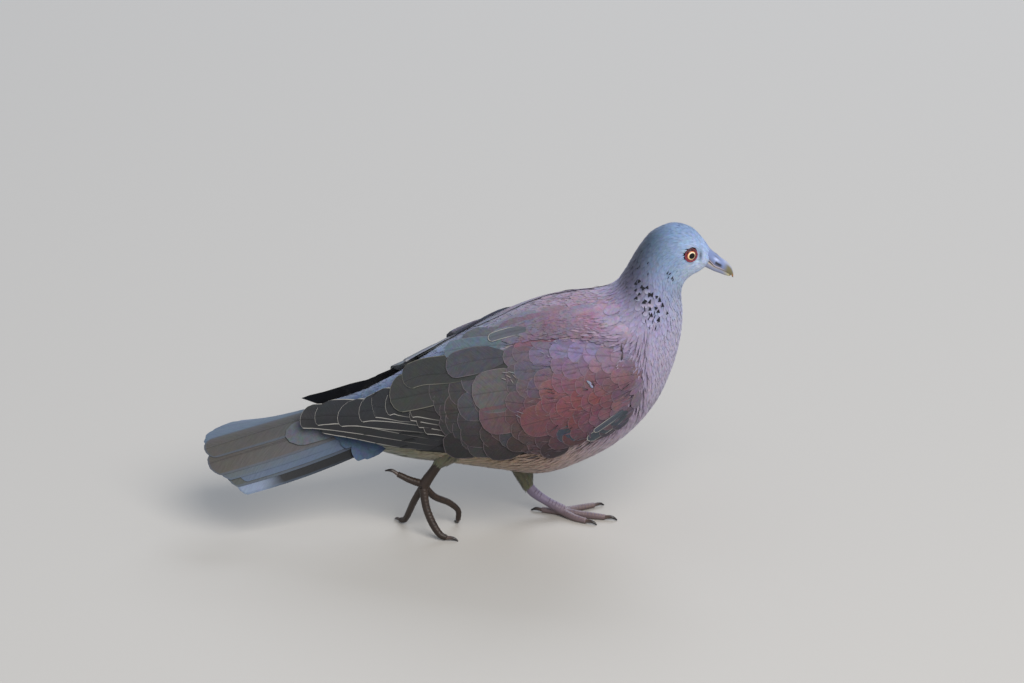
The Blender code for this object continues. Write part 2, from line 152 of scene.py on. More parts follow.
# ================================================================ skin
# The bird's own skin, from the bill's base to under the tail, with both feathered thighs.
# It is one closed surface that lies inside the outline by the depth of the coat, and it
# carries the plumage's colours, darkened as painted shade under the coat, so no gap between feathers
# shows.

MM = 0.001
EYE_PLACE = np.array([104.5, 6.6, 140.6])
# Each station from tail to bill: x and z of the back, x and z of the belly, half width, coat
# depth, and the plumage's colours on the back, the side and the belly.
BODY_STATIONS = {
    "undertail": (-84.0, 50.5, -83.0, 46.5, 4.0, 0.5, "#5d6672", "#85878a", "#a3a49f"),
    "coverts_end": (-64.0, 57.0, -62.0, 44.5, 8.0, 0.7, "#4f5e74", "#6f7478", "#a2a298"),
    "coverts": (-47.0, 68.5, -45.0, 39.6, 13.0, 0.9, "#4c5c72", "#6b6e70", "#9c9a8b"),
    "vent": (-31.0, 77.0, -28.0, 35.4, 20.5, 1.0, "#556480", "#706c5c", "#8d8d6c"),
    "rump": (-10.0, 91.0, -8.0, 33.4, 28.0, 1.0, "#647086", "#766c64", "#ac9c78"),
    "loin": (14.0, 104.8, 14.0, 30.4, 33.5, 1.0, "#757282", "#7e6e62", "#a48d6a"),
    "middle": (35.0, 113.2, 36.0, 28.4, 36.5, 1.0, "#7f6e7b", "#857270", "#a98d74"),
    "shoulder": (50.0, 116.2, 57.0, 36.0, 36.5, 1.0, "#857182", "#94828f", "#ad978f"),
    "mantle": (59.5, 117.4, 74.0, 46.8, 34.5, 1.0, "#8a798d", "#a092aa", "#b3a1ab"),
    "crop": (65.4, 119.2, 88.0, 62.5, 30.0, 0.9, "#867b92", "#958ba5", "#9d909e"),
    "breast": (69.4, 122.2, 96.0, 79.5, 24.5, 0.9, "#7d7792", "#978fa9", "#a59cb1"),
    "neck_base": (72.6, 127.0, 100.2, 95.0, 19.0, 0.8, "#403e4d", "#8d89a5", "#aba5bc"),
    "neck": (76.0, 133.2, 101.2, 108.0, 15.2, 0.7, "#292b39", "#8386a4", "#a8a9c1"),
    "throat": (79.9, 140.3, 100.4, 118.2, 13.0, 0.6, "#29323c", "#7e8aa9", "#8792a8"),
    "nape": (86.0, 148.0, 102.0, 123.6, 12.3, 0.5, "#384a5c", "#7d92b0", "#acbcd4"),
    "crown": (95.5, 152.3, 104.6, 126.6, 11.6, 0.4, "#6c83a4", "#8a9fbf", "#c4d1e4"),
    "brow": (104.5, 150.4, 108.0, 128.6, 9.6, 0.4, "#7d94b6", "#b2c5e4", "#ccd9ec"),
    "forehead": (110.6, 144.4, 109.6, 129.6, 6.8, 0.35, "#9ab2d8", "#bccdea", "#c6d3e6"),
    "bill_base": (114.6, 138.2, 110.6, 130.4, 4.4, 0.3, "#9ab0d4", "#aebeda", "#b8c4da"),
}
BODY_END = len(BODY_STATIONS) - 1.0
SKIN_PAINTED_SHADE = 0.80       # the skin's brightness, of the feathers': painted shade under the coat
SOCKET_DEPTH, SOCKET_RADIUS = 1.8, 3.6
THIGH_COAT = 1.0        # the depth of the thighs' coat
# The thighs, as (x, y, z, radius) down each feathered leg.
THIGHS = {
    "left": ((22.0, 14.5, 44.0, 9.0), (24.6, 14.2, 30.0, 7.4), (26.8, 13.6, 20.5, 5.0),
             (28.4, 13.0, 14.6, 3.2)),
    "right": ((0.0, -15.0, 54.0, 9.0), (-6.0, -14.4, 46.0, 7.4), (-11.0, -13.4, 39.4, 4.6),
              (-12.8, -13.0, 37.2, 3.4)),
}

eye_low, eye_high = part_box("eye_right")
SHIFT = (np.array(eye_low) + np.array(eye_high)) / 2 / MM - EYE_PLACE * (1, -1, 1)


def smooth(rows, at):
    """Reads rows of numbers at fractional row numbers: a cubic through every row, whose
    slope at a row is half the difference of its neighbours, and straight past the ends."""
    rows = np.asarray(rows, float)
    last = len(rows) - 1
    padded = np.vstack([2 * rows[0] - rows[1], rows, 2 * rows[-1] - rows[-2]])
    at = np.asarray(at, float)
    inside = np.clip(at, 0.0, last)
    low = np.minimum(inside.astype(int), last - 1)
    t = (inside - low)[..., None]
    before, start, end, after = (padded[low + k] for k in range(4))
    slope_in = 0.5 * (end - before)
    slope_out = 0.5 * (after - start)
    curve = ((2 * t**3 - 3 * t**2 + 1) * start + (t**3 - 2 * t**2 + t) * slope_in
             + (3 * t**2 - 2 * t**3) * end + (t**3 - t**2) * slope_out)
    past = (at - inside)[..., None]
    return curve + np.where(past < 0, past * (rows[1] - rows[0]), past * (rows[-1] - rows[-2]))


def unit(vectors):
    """The vectors at length one."""
    return vectors / (np.linalg.norm(vectors, axis=-1, keepdims=True) + 1e-12)


BODY_ROWS = np.array([row[:6] for row in BODY_STATIONS.values()])
BODY_COLOURS = np.array([[linear(code) for code in row[6:]] for row in BODY_STATIONS.values()])


def body_point(station, angle):
    """The body's outline: an oval between back and belly at each station, at an angle
    counted from the back towards the left, and a little wider above the middle."""
    rows = smooth(BODY_ROWS, station)
    rise_x = (rows[..., 0] - rows[..., 2]) / 2
    rise_z = (rows[..., 1] - rows[..., 3]) / 2
    x = (rows[..., 0] + rows[..., 2]) / 2 + rise_x * np.cos(angle)
    z = (rows[..., 1] + rows[..., 3]) / 2 + rise_z * np.cos(angle)
    y = rows[..., 4] * np.sin(angle) * (1 + 0.08 * np.cos(angle))
    return np.stack([x, y, z], axis=-1)


def slopes(surface, a, b):
    """How far a surface's points move per unit of each of its two parameters, found from
    small steps to both sides."""
    step_a, step_b = 0.02, 0.01
    return ((surface(a + step_a, b) - surface(a - step_a, b)) / (2 * step_a),
            (surface(a, b + step_b) - surface(a, b - step_b)) / (2 * step_b))


def lifted(surface, out, a, b, lift):
    """Points of a surface moved out along its normal, the cross product of its slopes."""
    normal = out * unit(np.cross(*slopes(surface, a, b)))
    return surface(a, b) + normal * np.asarray(lift)[..., None]


def coat_depth(station):
    """How deep the coat is at a station of the body."""
    return smooth(BODY_ROWS[:, 5:6], station)[..., 0]


def body_colour(station, angle):
    """The plumage's colour: the station's side colour, turning to its back colour as the
    cosine of the angle rises and to its belly colour as it falls."""
    at = np.clip(station, 0, BODY_END - 0.001)
    low = at.astype(int)
    share = (at - low)[..., None, None]
    rows = BODY_COLOURS[low] * (1 - share) + BODY_COLOURS[low + 1] * share
    up = np.cos(angle)[..., None]
    top, under = np.clip(up, 0, 1), np.clip(-up, 0, 1) ** 1.3
    return rows[..., 0, :] * top + rows[..., 2, :] * under + rows[..., 1, :] * (1 - top - under)


def limb_point(stations):
    """The surface of a round limb: a circle at each station, square to the limb's line."""
    rows = np.asarray(stations, float)

    def point(station, angle):
        here = smooth(rows, station)
        ahead = unit(smooth(rows, station + 0.02)[..., :3] - smooth(rows, station - 0.02)[..., :3])
        upright = np.abs(rows[-1, 2] - rows[0, 2]) > 0.7 * np.linalg.norm(rows[-1, :3] - rows[0, :3])
        guide = np.array([1.0, 0, 0]) if upright else np.array([0, 0, 1.0])
        aside = unit(np.cross(ahead, guide))
        above = np.cross(aside, ahead)
        spread = aside * np.sin(angle)[..., None] + above * np.cos(angle)[..., None]
        return here[..., :3] + spread * here[..., 3:4]

    return point


def round_grid(first, last, rings, sides):
    """A grid of places along a round piece by angles all the way round it."""
    return np.meshgrid(np.linspace(first, last, rings),
                       np.linspace(0, 2 * math.pi, sides, endpoint=False), indexing="ij")


def ring_faces(rings, sides):
    """Quads between closed rings of points, and a lid over each end ring."""
    ring, side = np.meshgrid(np.arange(rings - 1), np.arange(sides), indexing="ij")
    a = ring * sides + side
    b = ring * sides + (side + 1) % sides
    quads = np.stack([a, a + sides, b + sides, b], axis=-1).reshape(-1, 4).tolist()
    return quads + [list(range(sides)), list(range(rings * sides - 1, (rings - 1) * sides - 1, -1))]


def link_piece(name, mesh, material, replaced):
    """A mesh as a piece that rides on the bird, in place of the nodes that it replaces."""
    mesh.materials.append(material)
    piece = link_object(name, mesh)
    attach(piece, "root")
    if replaced:
        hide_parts(*replaced)
    return piece


def set_attribute(mesh, name, kind, values):
    """Stores one value for each vertex of a mesh under a name that a material reads."""
    layer = mesh.attributes.new(name, kind, "POINT")
    field = "color" if kind == "FLOAT_COLOR" else "vector"
    layer.data.foreach_set(field, np.asarray(values, np.float32).ravel())


def set_tint(mesh, colours):
    """Stores linear colours, one for each vertex, as the attribute tint."""
    colours = np.clip(np.asarray(colours).reshape(-1, 3), 0.0, 1.0)
    set_attribute(mesh, "tint", "FLOAT_COLOR", np.hstack([colours, np.ones((len(colours), 1))]))


def vertex_values(mesh, field):
    """A vector for each vertex of a mesh, such as its place or its normal."""
    values = np.empty(len(mesh.vertices) * 3, np.float32)
    mesh.vertices.foreach_get(field, values)
    return values.reshape(-1, 3)


def flip_outward(mesh):
    """Turns a closed mesh's faces outward, judged by the sign of its volume."""
    mesh.calc_loop_triangles()
    corners = np.empty(len(mesh.loop_triangles) * 3, np.int32)
    mesh.loop_triangles.foreach_get("vertices", corners)
    points = vertex_values(mesh, "co").astype(float)
    a, b, c = points[corners.reshape(-1, 3)].transpose(1, 0, 2)
    if np.einsum("ij,ij->", a, np.cross(b, c)) < 0:
        mesh.flip_normals()


def add_piece(name, points, faces, material, colours, replaced=()):
    """A closed mesh given in millimetres, shaded smooth, with a colour for each vertex."""
    mesh = bpy.data.meshes.new(name)
    mesh.from_pydata(((points + SHIFT) * MM).reshape(-1, 3).tolist(), [], faces)
    mesh.shade_smooth()
    set_tint(mesh, colours)
    flip_outward(mesh)
    return link_piece(name, mesh, material, replaced)


def body_unwrap(station, angle):
    """Where a point of the body lies on a flat unwrap of the skin: its share of the way
    round and its share of the way from tail to bill."""
    share = np.mod(angle, 2 * math.pi) / (2 * math.pi)
    return np.stack([0.02 + 0.96 * share, 0.02 + 0.9 * station / BODY_END], axis=-1)


def grained(name, rough, scale, strength, depth=0.0002):
    """A material in the piece's own tint, with a fine grain of noise: about `scale` grains
    to a metre, each up to `depth` metres high."""
    material, tree, shader = start_material(name, roughness=rough)
    tint = add_node(tree, "Attribute", attribute_name="tint")
    place = add_node(tree, "TexCoord")
    grain = add_node(tree, "TexNoise", {"Vector": place.outputs["Object"], "Scale": scale,
                                        "Detail": 3.0})
    bump = add_node(tree, "Bump", {"Height": grain.outputs["Fac"], "Strength": strength,
                                   "Distance": depth})
    tree.links.new(tint.outputs["Color"], shader.inputs["Base Color"])
    tree.links.new(bump.outputs["Normal"], shader.inputs["Normal"])
    return material


def dove_skin():
    """Bare skin under feathers: matt, in the plumage's own colours, with a grain of 0.7 mm."""
    return grained("dove_skin", 0.7, 1500.0, 0.4)


def make_skin():
    """The body's rings, drawn in by the coat's depth and hollowed at the eyes by a steep
    hill of the distance from each, united with the two thighs."""
    material = dove_skin()
    rings, sides = 120, 96
    station, angle = round_grid(0, BODY_END, rings, sides)
    beside_eye = np.linalg.norm((body_point(station, angle) - EYE_PLACE) * (1, 0, 1), axis=-1)
    socket = SOCKET_DEPTH * np.exp(-((beside_eye / SOCKET_RADIUS) ** 6)) * (np.abs(np.sin(angle)) > 0.4)
    skin = add_piece("skin", lifted(body_point, 1, station, angle, -coat_depth(station) - socket),
                     ring_faces(rings, sides), material,
                     SKIN_PAINTED_SHADE * body_colour(station, angle),
                     ["head", "neck", "trunk", "thigh_left", "thigh_right"])
    rings, sides = 20, 28
    for stations in THIGHS.values():
        station, angle = round_grid(0, len(stations) - 1, rings, sides)
        surface = limb_point([(x, y, z, r - THIGH_COAT) for x, y, z, r in stations])
        unite(skin, add_piece("thigh", surface(station, angle), ring_faces(rings, sides), material,
                              SKIN_PAINTED_SHADE * thigh_colour(station)))


def thigh_colour(station):
    """Grey-brown at the top of the thigh, paler and more buff towards the shank."""
    top, low = linear("#77705e"), linear("#62624c")
    share = np.clip(station / 3, 0, 1)[..., None]
    return top * (1 - share) + low * share


def finished_mesh(piece):
    """A new mesh of a piece with its modifiers worked out."""
    bpy.context.view_layer.update()
    seen = piece.evaluated_get(bpy.context.evaluated_depsgraph_get())
    return bpy.data.meshes.new_from_object(seen)


def unite(piece, other):
    """Joins another closed mesh into a piece with a Boolean union, and removes the other."""
    join = piece.modifiers.new("join", "BOOLEAN")
    join.operation = "UNION"
    join.object = other
    shape = finished_mesh(piece)
    piece.modifiers.remove(join)
    piece.data = shape
    bpy.data.objects.remove(other)


make_skin()


# ================================================================ feathers of the body
# Contour feathers are soft flat vanes that overlap like tiles from the bill to the tail.
# Each vane here is a closed sliver: a curved face, a flat underside and a lid at each end.
# It starts near the skin and its tip reaches the outline. Loose barbs make narrow tufts.

# Each kind's rows (0 at the root, 1 at the tip), columns (-1 and 1 at the edges) and share of
# its width at each row; and for a tuft, the share of its length that each column reaches.
TUFT_GRID = (np.array([0.0, 0.45, 1.0]), np.array([-1.0, 0.0, 1.0]))
TUFT_SPREAD = np.array([0.55, 1.0, 0.75])
TUFT = (*TUFT_GRID, TUFT_SPREAD, np.array([0.70, 1.0, 0.70]))
VANE_COLUMNS = np.sin(np.linspace(-1, 1, 7) * math.pi / 2)
VANE = (np.array([0.0, 0.25, 0.5, 0.72, 0.88, 1.0]), VANE_COLUMNS,
        np.array([0.45, 0.85, 1.0, 1.0, 0.97, 0.94]))
VANE_CREASE = math.radians(50)      # a vane's edges are sharp where they turn more than this
PATCH = 0.0015          # half the width of a small feather's place in the unwrap


def into_parameters(slope_a, slope_b, step):
    """The changes of a surface's two parameters that move a point by a step: the solution
    of the two equations that the slopes' dot products make."""
    aa, ab, bb = ((p * q).sum(-1) for p, q in
                  ((slope_a, slope_a), (slope_a, slope_b), (slope_b, slope_b)))
    pa, pb = (slope_a * step).sum(-1), (slope_b * step).sum(-1)
    size = aa * bb - ab**2 + 1e-9
    return (pa * bb - pb * ab) / size, (pb * aa - pa * ab) / size


def scatter(surface, span_a, span_b, spacing, seed, keep=None):
    """Feather roots spread evenly over a stretch of surface: places drawn by area, then
    thinned in random order so that none is nearer than the spacing to another. A function
    given as `keep` tests their points and places. With the roots come their number and the
    generator that the feathers' own sizes are drawn from."""
    rng = np.random.default_rng(seed)

    def area(a, b):
        return np.linalg.norm(np.cross(*slopes(surface, a, b)), axis=-1)

    def draw(count):
        return rng.uniform(*span_a, count), rng.uniform(*span_b, count)

    samples, crowding = 4000, 4.5
    sizes = area(*draw(samples))
    whole = sizes.mean() * (span_a[1] - span_a[0]) * (span_b[1] - span_b[0])
    tries = int(crowding * whole / spacing**2 * sizes.max() / sizes.mean())
    a, b = draw(tries)
    taken = rng.uniform(0, sizes.max(), tries) < area(a, b)
    if keep is not None:
        taken &= keep(surface(a, b), a, b)
    a, b = a[taken], b[taken]
    points = surface(a, b)
    tree = kdtree.KDTree(len(points))
    for k, point in enumerate(points):
        tree.insert(point, k)
    tree.balance()
    free = np.ones(len(points), bool)
    kept = []
    for k in range(len(points)):
        if free[k]:
            kept.append(k)
            free[[near[1] for near in tree.find_range(points[k], spacing)]] = False
    return a[kept], b[kept], len(kept), np.random.default_rng(seed + 1)


def shaft_lines(surface, out, ahead, a, b, turn, length, nodes=6):
    """The lines that feather shafts follow over a surface: equal steps from each root along
    the surface's first direction, turned by an angle about the normal."""
    path = [(a, b)]
    for _ in range(nodes - 1):
        slope_a, slope_b = slopes(surface, a, b)
        forward = ahead * unit(slope_a)
        aside = np.cross(out * unit(np.cross(slope_a, slope_b)), forward)
        way = forward * np.cos(turn)[:, None] + aside * np.sin(turn)[:, None]
        step_a, step_b = into_parameters(slope_a, slope_b, way * (length / (nodes - 1))[:, None])
        a, b = a + step_a, b + step_b
        path.append((a, b))
    return np.array(path).transpose(2, 0, 1)


def tuft_lines(surface, out, ahead, a, b, sway, length, rng):
    """Short shaft lines that turn a little to either side and differ in length."""
    turn = sway * rng.normal(size=len(a))
    size = length * rng.uniform(0.7, 1.2, len(a))
    return shaft_lines(surface, out, ahead, a, b, turn, size, nodes=4)


def run_of(lines):
    """The length of each line of points: the sum of the steps between them."""
    return np.linalg.norm(np.diff(lines, axis=1), axis=-1).sum(1)


def lay(surface, out, path, half_width, lift, crown, v, u, spread, reach, shaft=0.0,
        ease=None):
    """Vanes laid on a surface, as grids of points. A point lies v * reach(u) of the way down
    its shaft line, moved aside by u * spread(v) * half_width, and out by a lift that runs
    from its first to its second value down the vane, less crown * u squared. A function
    given as `ease` may change that lift from place to place."""
    count, nodes = path.shape[:2]
    reach = np.broadcast_to(reach, (count, len(u)))
    share = v[None, :, None] * reach[:, None, :]
    where = share * (nodes - 1)
    low = np.clip(where.astype(int), 0, nodes - 2)
    part = (where - low)[..., None]
    line = surface(path[..., 0], path[..., 1])
    slope_a, slope_b = slopes(surface, path[..., 0], path[..., 1])
    forward = unit(np.gradient(line, axis=1))
    aside = unit(np.cross(out * unit(np.cross(slope_a, slope_b)), forward))
    at_nodes = np.concatenate(
        [path, np.stack(into_parameters(slope_a, slope_b, aside), axis=-1)], axis=-1)
    feather = np.arange(count)[:, None, None]
    here = at_nodes[feather, low] * (1 - part) + at_nodes[feather, low + 1] * part
    half = np.broadcast_to(half_width, (count,))[:, None, None]
    wide = half * spread[None, :, None] * u[None, None, :]
    a = here[..., 0] + here[..., 2] * wide
    b = here[..., 1] + here[..., 3] * wide
    start, end = (np.broadcast_to(value, (count,))[:, None, None] for value in lift)
    height = start + (end - start) * share - crown * u[None, None, :] ** 2
    if ease is not None:
        height = ease(a, b, height)
    length = run_of(line)[:, None, None]
    whole = np.broadcast_arrays(u[None, None, :], v[None, :, None], half + 0 * share)
    return {
        "points": lifted(surface, out, a, b, height), "a": a, "b": b, "share": share,
        "across": wide - shaft * half * spread[None, :, None], "along": share * length,
        "u": whole[0], "v": whole[1], "half": whole[2], "root": path[:, 0], "patch": (PATCH, PATCH),
    }


def vane_faces(rows, columns):
    """The corners and the first corner of each face of one vane, and which are its face."""
    row, column = np.meshgrid(np.arange(rows - 1), np.arange(columns - 1), indexing="ij")
    a = row * columns + column
    top = np.stack([a, a + columns, a + columns + 1, a + 1], axis=-1).reshape(-1, 4)
    a = np.arange(rows - 1) * columns
    under = np.stack([a, a + columns - 1, a + 2 * columns - 1, a + columns], axis=-1)
    root = np.arange(columns)
    tip = (rows - 1) * columns + np.arange(columns)[::-1]
    corners = np.concatenate([top.ravel(), under.ravel(), root, tip])
    sizes = [4] * (len(top) + len(under)) + [columns, columns]
    return corners, np.array(sizes), np.arange(len(sizes)) < len(top)


def add_coat(name, beds, material, unwrap, replaced=()):
    """Joins beds of laid vanes into one mesh, with the attributes its material reads: tint,
    vane (mm across, mm along, a random number), rim (u, v, half width in mm) and under."""
    points, corners, sizes, smooth_faces, tints, vanes, rims, maps = ([] for _ in range(8))
    base = 0
    for bed in beds:
        count, rows, columns = bed["points"].shape[:3]
        own, size, is_top = vane_faces(rows, columns)
        first = base + np.arange(count)[:, None] * rows * columns
        corners.append((own[None, :] + first).ravel())
        sizes.append(np.tile(size, count))
        smooth_faces.append(np.tile(is_top, count))
        points.append(bed["points"].reshape(-1, 3))
        tints.append(bed["tint"].reshape(-1, 3))
        chance = np.broadcast_to(bed["chance"][:, None, None], bed["u"].shape)
        vanes.append(np.stack([bed["across"], bed["along"], chance], axis=-1).reshape(-1, 3))
        rims.append(np.stack([bed["u"], bed["v"], bed["half"]], axis=-1).reshape(-1, 3))
        home = bed["home"] if "home" in bed else unwrap(*bed["root"].T)
        spot = np.stack([bed["u"], 2 * bed["v"] - 1], axis=-1)
        over = home[:, None, None, :] + spot * bed["patch"]
        below = home - (0, bed["patch"][1] - PATCH if bed["patch"][1] > PATCH else 0)
        below = below[:, None, None, :] + spot * PATCH
        both = np.stack([over.reshape(count, -1, 2), below.reshape(count, -1, 2)])
        kind = np.repeat(np.where(is_top, 0, 1), size)
        maps.append(both[kind, :, own].transpose(1, 0, 2).reshape(-1, 2))
        base += count * rows * columns
    sizes = np.concatenate(sizes)
    corners = np.concatenate(corners)
    mesh = bpy.data.meshes.new(name)
    mesh.vertices.add(base)
    placed = (np.concatenate(points) + SHIFT) * MM
    mesh.vertices.foreach_set("co", placed.astype(np.float32).ravel())
    mesh.loops.add(len(corners))
    mesh.loops.foreach_set("vertex_index", corners.astype(np.int32))
    mesh.polygons.add(len(sizes))
    mesh.polygons.foreach_set("loop_start", (np.cumsum(sizes) - sizes).astype(np.int32))
    mesh.polygons.foreach_set("use_smooth", np.concatenate(smooth_faces))
    mesh.update(calc_edges=True)
    mesh.set_sharp_from_angle(angle=VANE_CREASE)
    set_tint(mesh, np.concatenate(tints))
    set_attribute(mesh, "vane", "FLOAT_VECTOR", np.concatenate(vanes))
    set_attribute(mesh, "rim", "FLOAT_VECTOR", np.concatenate(rims))
    under = mesh.attributes.new("under", "FLOAT", "FACE")
    under.data.foreach_set("value", (~np.concatenate(smooth_faces)).astype(np.float32))
    layer = mesh.uv_layers.new(name="OFBake")
    layer.uv.foreach_set("vector", np.concatenate(maps).astype(np.float32).ravel())
    link_piece(name, mesh, material, replaced)


def mottle(points, size, seed):
    """Smooth patches between -1 and 1, about `size` mm across: the mean of a few sine waves
    in random directions."""
    rng = np.random.default_rng(seed)
    count, strength = 6, 1.8
    waves = unit(rng.normal(size=(count, 3))) * rng.uniform(0.6, 1.4, (count, 1)) * math.pi / size
    phase = rng.uniform(0, 2 * math.pi, count)
    return np.sin(points @ waves.T + phase).mean(-1) * strength


def blend(colour, other, share):
    """A mix of two linear colours, by a share between 0 and 1."""
    share = np.clip(share, 0, 1)[..., None]
    return colour * (1 - share) + linear(other) * share


def colour_bed(bed, colours, seed, root_down_and_shade=0.88, vary=0.05, warm=0.03):
    """Gives a bed its colours: darker at the root, partly for the grey down at a feather's base and
    partly as painted shade under the feathers that overlap it, with each feather a little brighter or
    darker, and a little redder or bluer, than the next."""
    rng = np.random.default_rng(seed)
    count = len(bed["points"])
    bed["chance"] = rng.uniform(0, 1, count)
    # The root is darker: partly its own grey down, partly painted shade under the overlapping feathers.
    depth = root_down_and_shade + (1 - root_down_and_shade) * np.clip(bed["share"] * 1.3, 0, 1)
    light = 1 + vary * rng.normal(size=count)
    turn = warm * rng.normal(size=count)
    hue = np.stack([1 + turn, np.ones(count), 1 - turn], axis=-1) * light[:, None]
    bed["tint"] = colours * depth[..., None] * hue[:, None, None, :]
    return bed


def plumage(name, slant, spacing, contrast, shaft=0.0, shaft_shade=0.6, rim=0.0,
            rim_colour="#cfc8b4", rim_strength=1.0, below=1.0, bump=0.5, rough=0.6, sheen=0.25,
            blotch=0.0, blotch_size=2.5):
    """Feather vanes: keratin barbs too fine to see, drawn as coarse lines that leave the
    shaft at a slant, over the feather's own tint, which small blotches turn redder, bluer,
    lighter or darker; a soft sheen like velvet; and, on large feathers, a horny shaft and a
    worn pale rim. Widths, sizes and spacing are in mm."""
    material, tree, shader = start_material(name, roughness=rough, sheen_weight=sheen,
                                            sheen_roughness=0.5)
    shader.inputs["Specular IOR Level"].default_value = 0.25
    shader.inputs["Sheen Tint"].default_value = rgba("#c9cde6")
    tint = add_node(tree, "Attribute", attribute_name="tint")
    vane = add_node(tree, "Attribute", attribute_name="vane")
    rims = add_node(tree, "Attribute", attribute_name="rim")
    vane = add_node(tree, "SeparateXYZ", {"Vector": vane.outputs["Vector"]})
    rims = add_node(tree, "SeparateXYZ", {"Vector": rims.outputs["Vector"]})
    # Barbs: noise stretched along lines that slant back from the shaft.
    away = add_node(tree, "Math", {0: vane.outputs["X"]}, operation="ABSOLUTE")
    swept = add_node(tree, "Math", {0: away.outputs[0], 1: -slant, 2: vane.outputs["Y"]},
                     operation="MULTIPLY_ADD")
    lines = add_node(tree, "Math", {0: swept.outputs[0], 1: 1.0 / spacing}, operation="MULTIPLY")
    slow = add_node(tree, "Math", {0: vane.outputs["X"], 1: 0.25}, operation="MULTIPLY")
    apart = add_node(tree, "Math", {0: vane.outputs["Z"], 1: 37.0}, operation="MULTIPLY")
    place = add_node(tree, "CombineXYZ", {"X": lines.outputs[0], "Y": slow.outputs[0],
                                          "Z": apart.outputs[0]})
    barbs = add_node(tree, "TexNoise", {"Vector": place.outputs[0], "Scale": 1.0, "Detail": 2.0,
                                        "Roughness": 0.6})
    dark = add_node(tree, "MapRange", {"Value": barbs.outputs["Fac"], "From Min": 0.3,
                                       "From Max": 0.7, "To Min": 1 - contrast,
                                       "To Max": 1 + contrast * 0.6})
    colour = add_node(tree, "VectorMath", {0: tint.outputs["Color"], "Scale": dark.outputs[0]},
                      operation="SCALE").outputs[0]
    # Blotches of colour.
    if blotch:
        spot = add_node(tree, "TexCoord")
        blots = add_node(tree, "TexNoise", {"Vector": spot.outputs["Object"], "Detail": 4.0,
                                            "Scale": 1000.0 / blotch_size, "Roughness": 0.65})
        turn = add_node(tree, "VectorMath", {0: blots.outputs["Color"], 1: (blotch,) * 3,
                                             2: (1 - blotch / 2,) * 3}, operation="MULTIPLY_ADD")
        colour = add_node(tree, "VectorMath", {0: colour, 1: turn.outputs[0]},
                          operation="MULTIPLY").outputs[0]
    height = barbs.outputs["Fac"]
    # The shaft: a raised line `shaft` mm wide.
    if shaft:
        near = add_node(tree, "MapRange", {"Value": away.outputs[0], "From Min": shaft * 0.3,
                                           "From Max": shaft * 0.7, "To Min": 1.0, "To Max": 0.0})
        shaded = add_node(tree, "VectorMath", {0: colour, "Scale": shaft_shade},
                          operation="SCALE")
        colour = add_node(tree, "Mix", {0: near.outputs[0], 6: colour, 7: shaded.outputs[0]},
                          data_type="RGBA").outputs[2]
        height = add_node(tree, "Math", {0: near.outputs[0], 1: 1.5, 2: height},
                          operation="MULTIPLY_ADD").outputs[0]
    # The underside, darker or lighter than the face: painted shade where `below` is under 1, painted
    # light where it is over 1.
    if below != 1:
        under = add_node(tree, "Attribute", attribute_name="under")
        shade = add_node(tree, "MapRange", {"Value": under.outputs["Fac"], "To Min": 1.0,
                                            "To Max": below})
        colour = add_node(tree, "VectorMath", {0: colour, "Scale": shade.outputs[0]},
                          operation="SCALE").outputs[0]
    # The worn rim: within `rim` mm of a side or of the tip, on the outer part of the face.
    if rim:
        beside = add_node(tree, "Math", {0: rims.outputs["X"]}, operation="ABSOLUTE")
        beside = add_node(tree, "Math", {0: 1.0, 1: beside.outputs[0]}, operation="SUBTRACT")
        beside = add_node(tree, "Math", {0: beside.outputs[0], 1: rims.outputs["Z"]},
                          operation="MULTIPLY")
        whole = add_node(tree, "Math", {0: vane.outputs["Y"], 1: rims.outputs["Y"]},
                         operation="DIVIDE")
        ahead = add_node(tree, "Math", {0: whole.outputs[0], 1: vane.outputs["Y"]},
                         operation="SUBTRACT")
        nearest = add_node(tree, "Math", {0: beside.outputs[0], 1: ahead.outputs[0]},
                           operation="MINIMUM")
        near = add_node(tree, "MapRange", {"Value": nearest.outputs[0], "From Min": rim * 0.6,
                                           "From Max": rim, "To Min": rim_strength,
                                           "To Max": 0.0})
        tip = add_node(tree, "MapRange", {"Value": rims.outputs["Y"], "From Min": 0.25,
                                          "From Max": 0.6})
        both = add_node(tree, "Math", {0: near.outputs[0], 1: tip.outputs[0]},
                        operation="MULTIPLY")
        under = add_node(tree, "Attribute", attribute_name="under")
        above = add_node(tree, "Math", {0: 1.0, 1: under.outputs["Fac"]}, operation="SUBTRACT")
        both = add_node(tree, "Math", {0: both.outputs[0], 1: above.outputs[0]},
                        operation="MULTIPLY")
        colour = add_node(tree, "Mix", {0: both.outputs[0], 6: colour, 7: rgba(rim_colour)},
                          data_type="RGBA").outputs[2]
    relief = add_node(tree, "Bump", {"Height": height, "Strength": bump, "Distance": 0.0003})
    tree.links.new(colour, shader.inputs["Base Color"])
    tree.links.new(relief.outputs["Normal"], shader.inputs["Normal"])
    return material


# A folded wing at stations from the bend to the tip: x, y and z of its upper edge, y and z
# of its lower edge, and how far its face bulges between them.
WING_STATIONS = {
    "bend": (82.0, 25.8, 92.0, 26.2, 85.0, 0.5),
    "wrist": (79.5, 24.6, 101.0, 26.6, 73.0, 3.2),
    "shoulder": (71.0, 23.4, 107.2, 28.0, 63.2, 7.4),
    "front": (50.0, 19.2, 110.3, 29.6, 52.3, 12.2),
    "middle": (28.0, 15.4, 107.2, 29.2, 47.2, 12.9),
    "elbow": (2.0, 10.8, 97.6, 26.8, 45.7, 11.3),
    "rump": (-20.0, 8.0, 86.2, 23.9, 46.0, 8.9),
    "tertials": (-38.0, 7.2, 75.8, 20.8, 47.8, 6.3),
    "primaries": (-56.0, 7.2, 68.4, 17.0, 51.9, 3.4),
    "point": (-70.0, 8.0, 63.4, 13.0, 55.9, 1.5),
    "tip": (-79.0, 8.4, 62.0, 11.6, 56.8, 0.3),
}
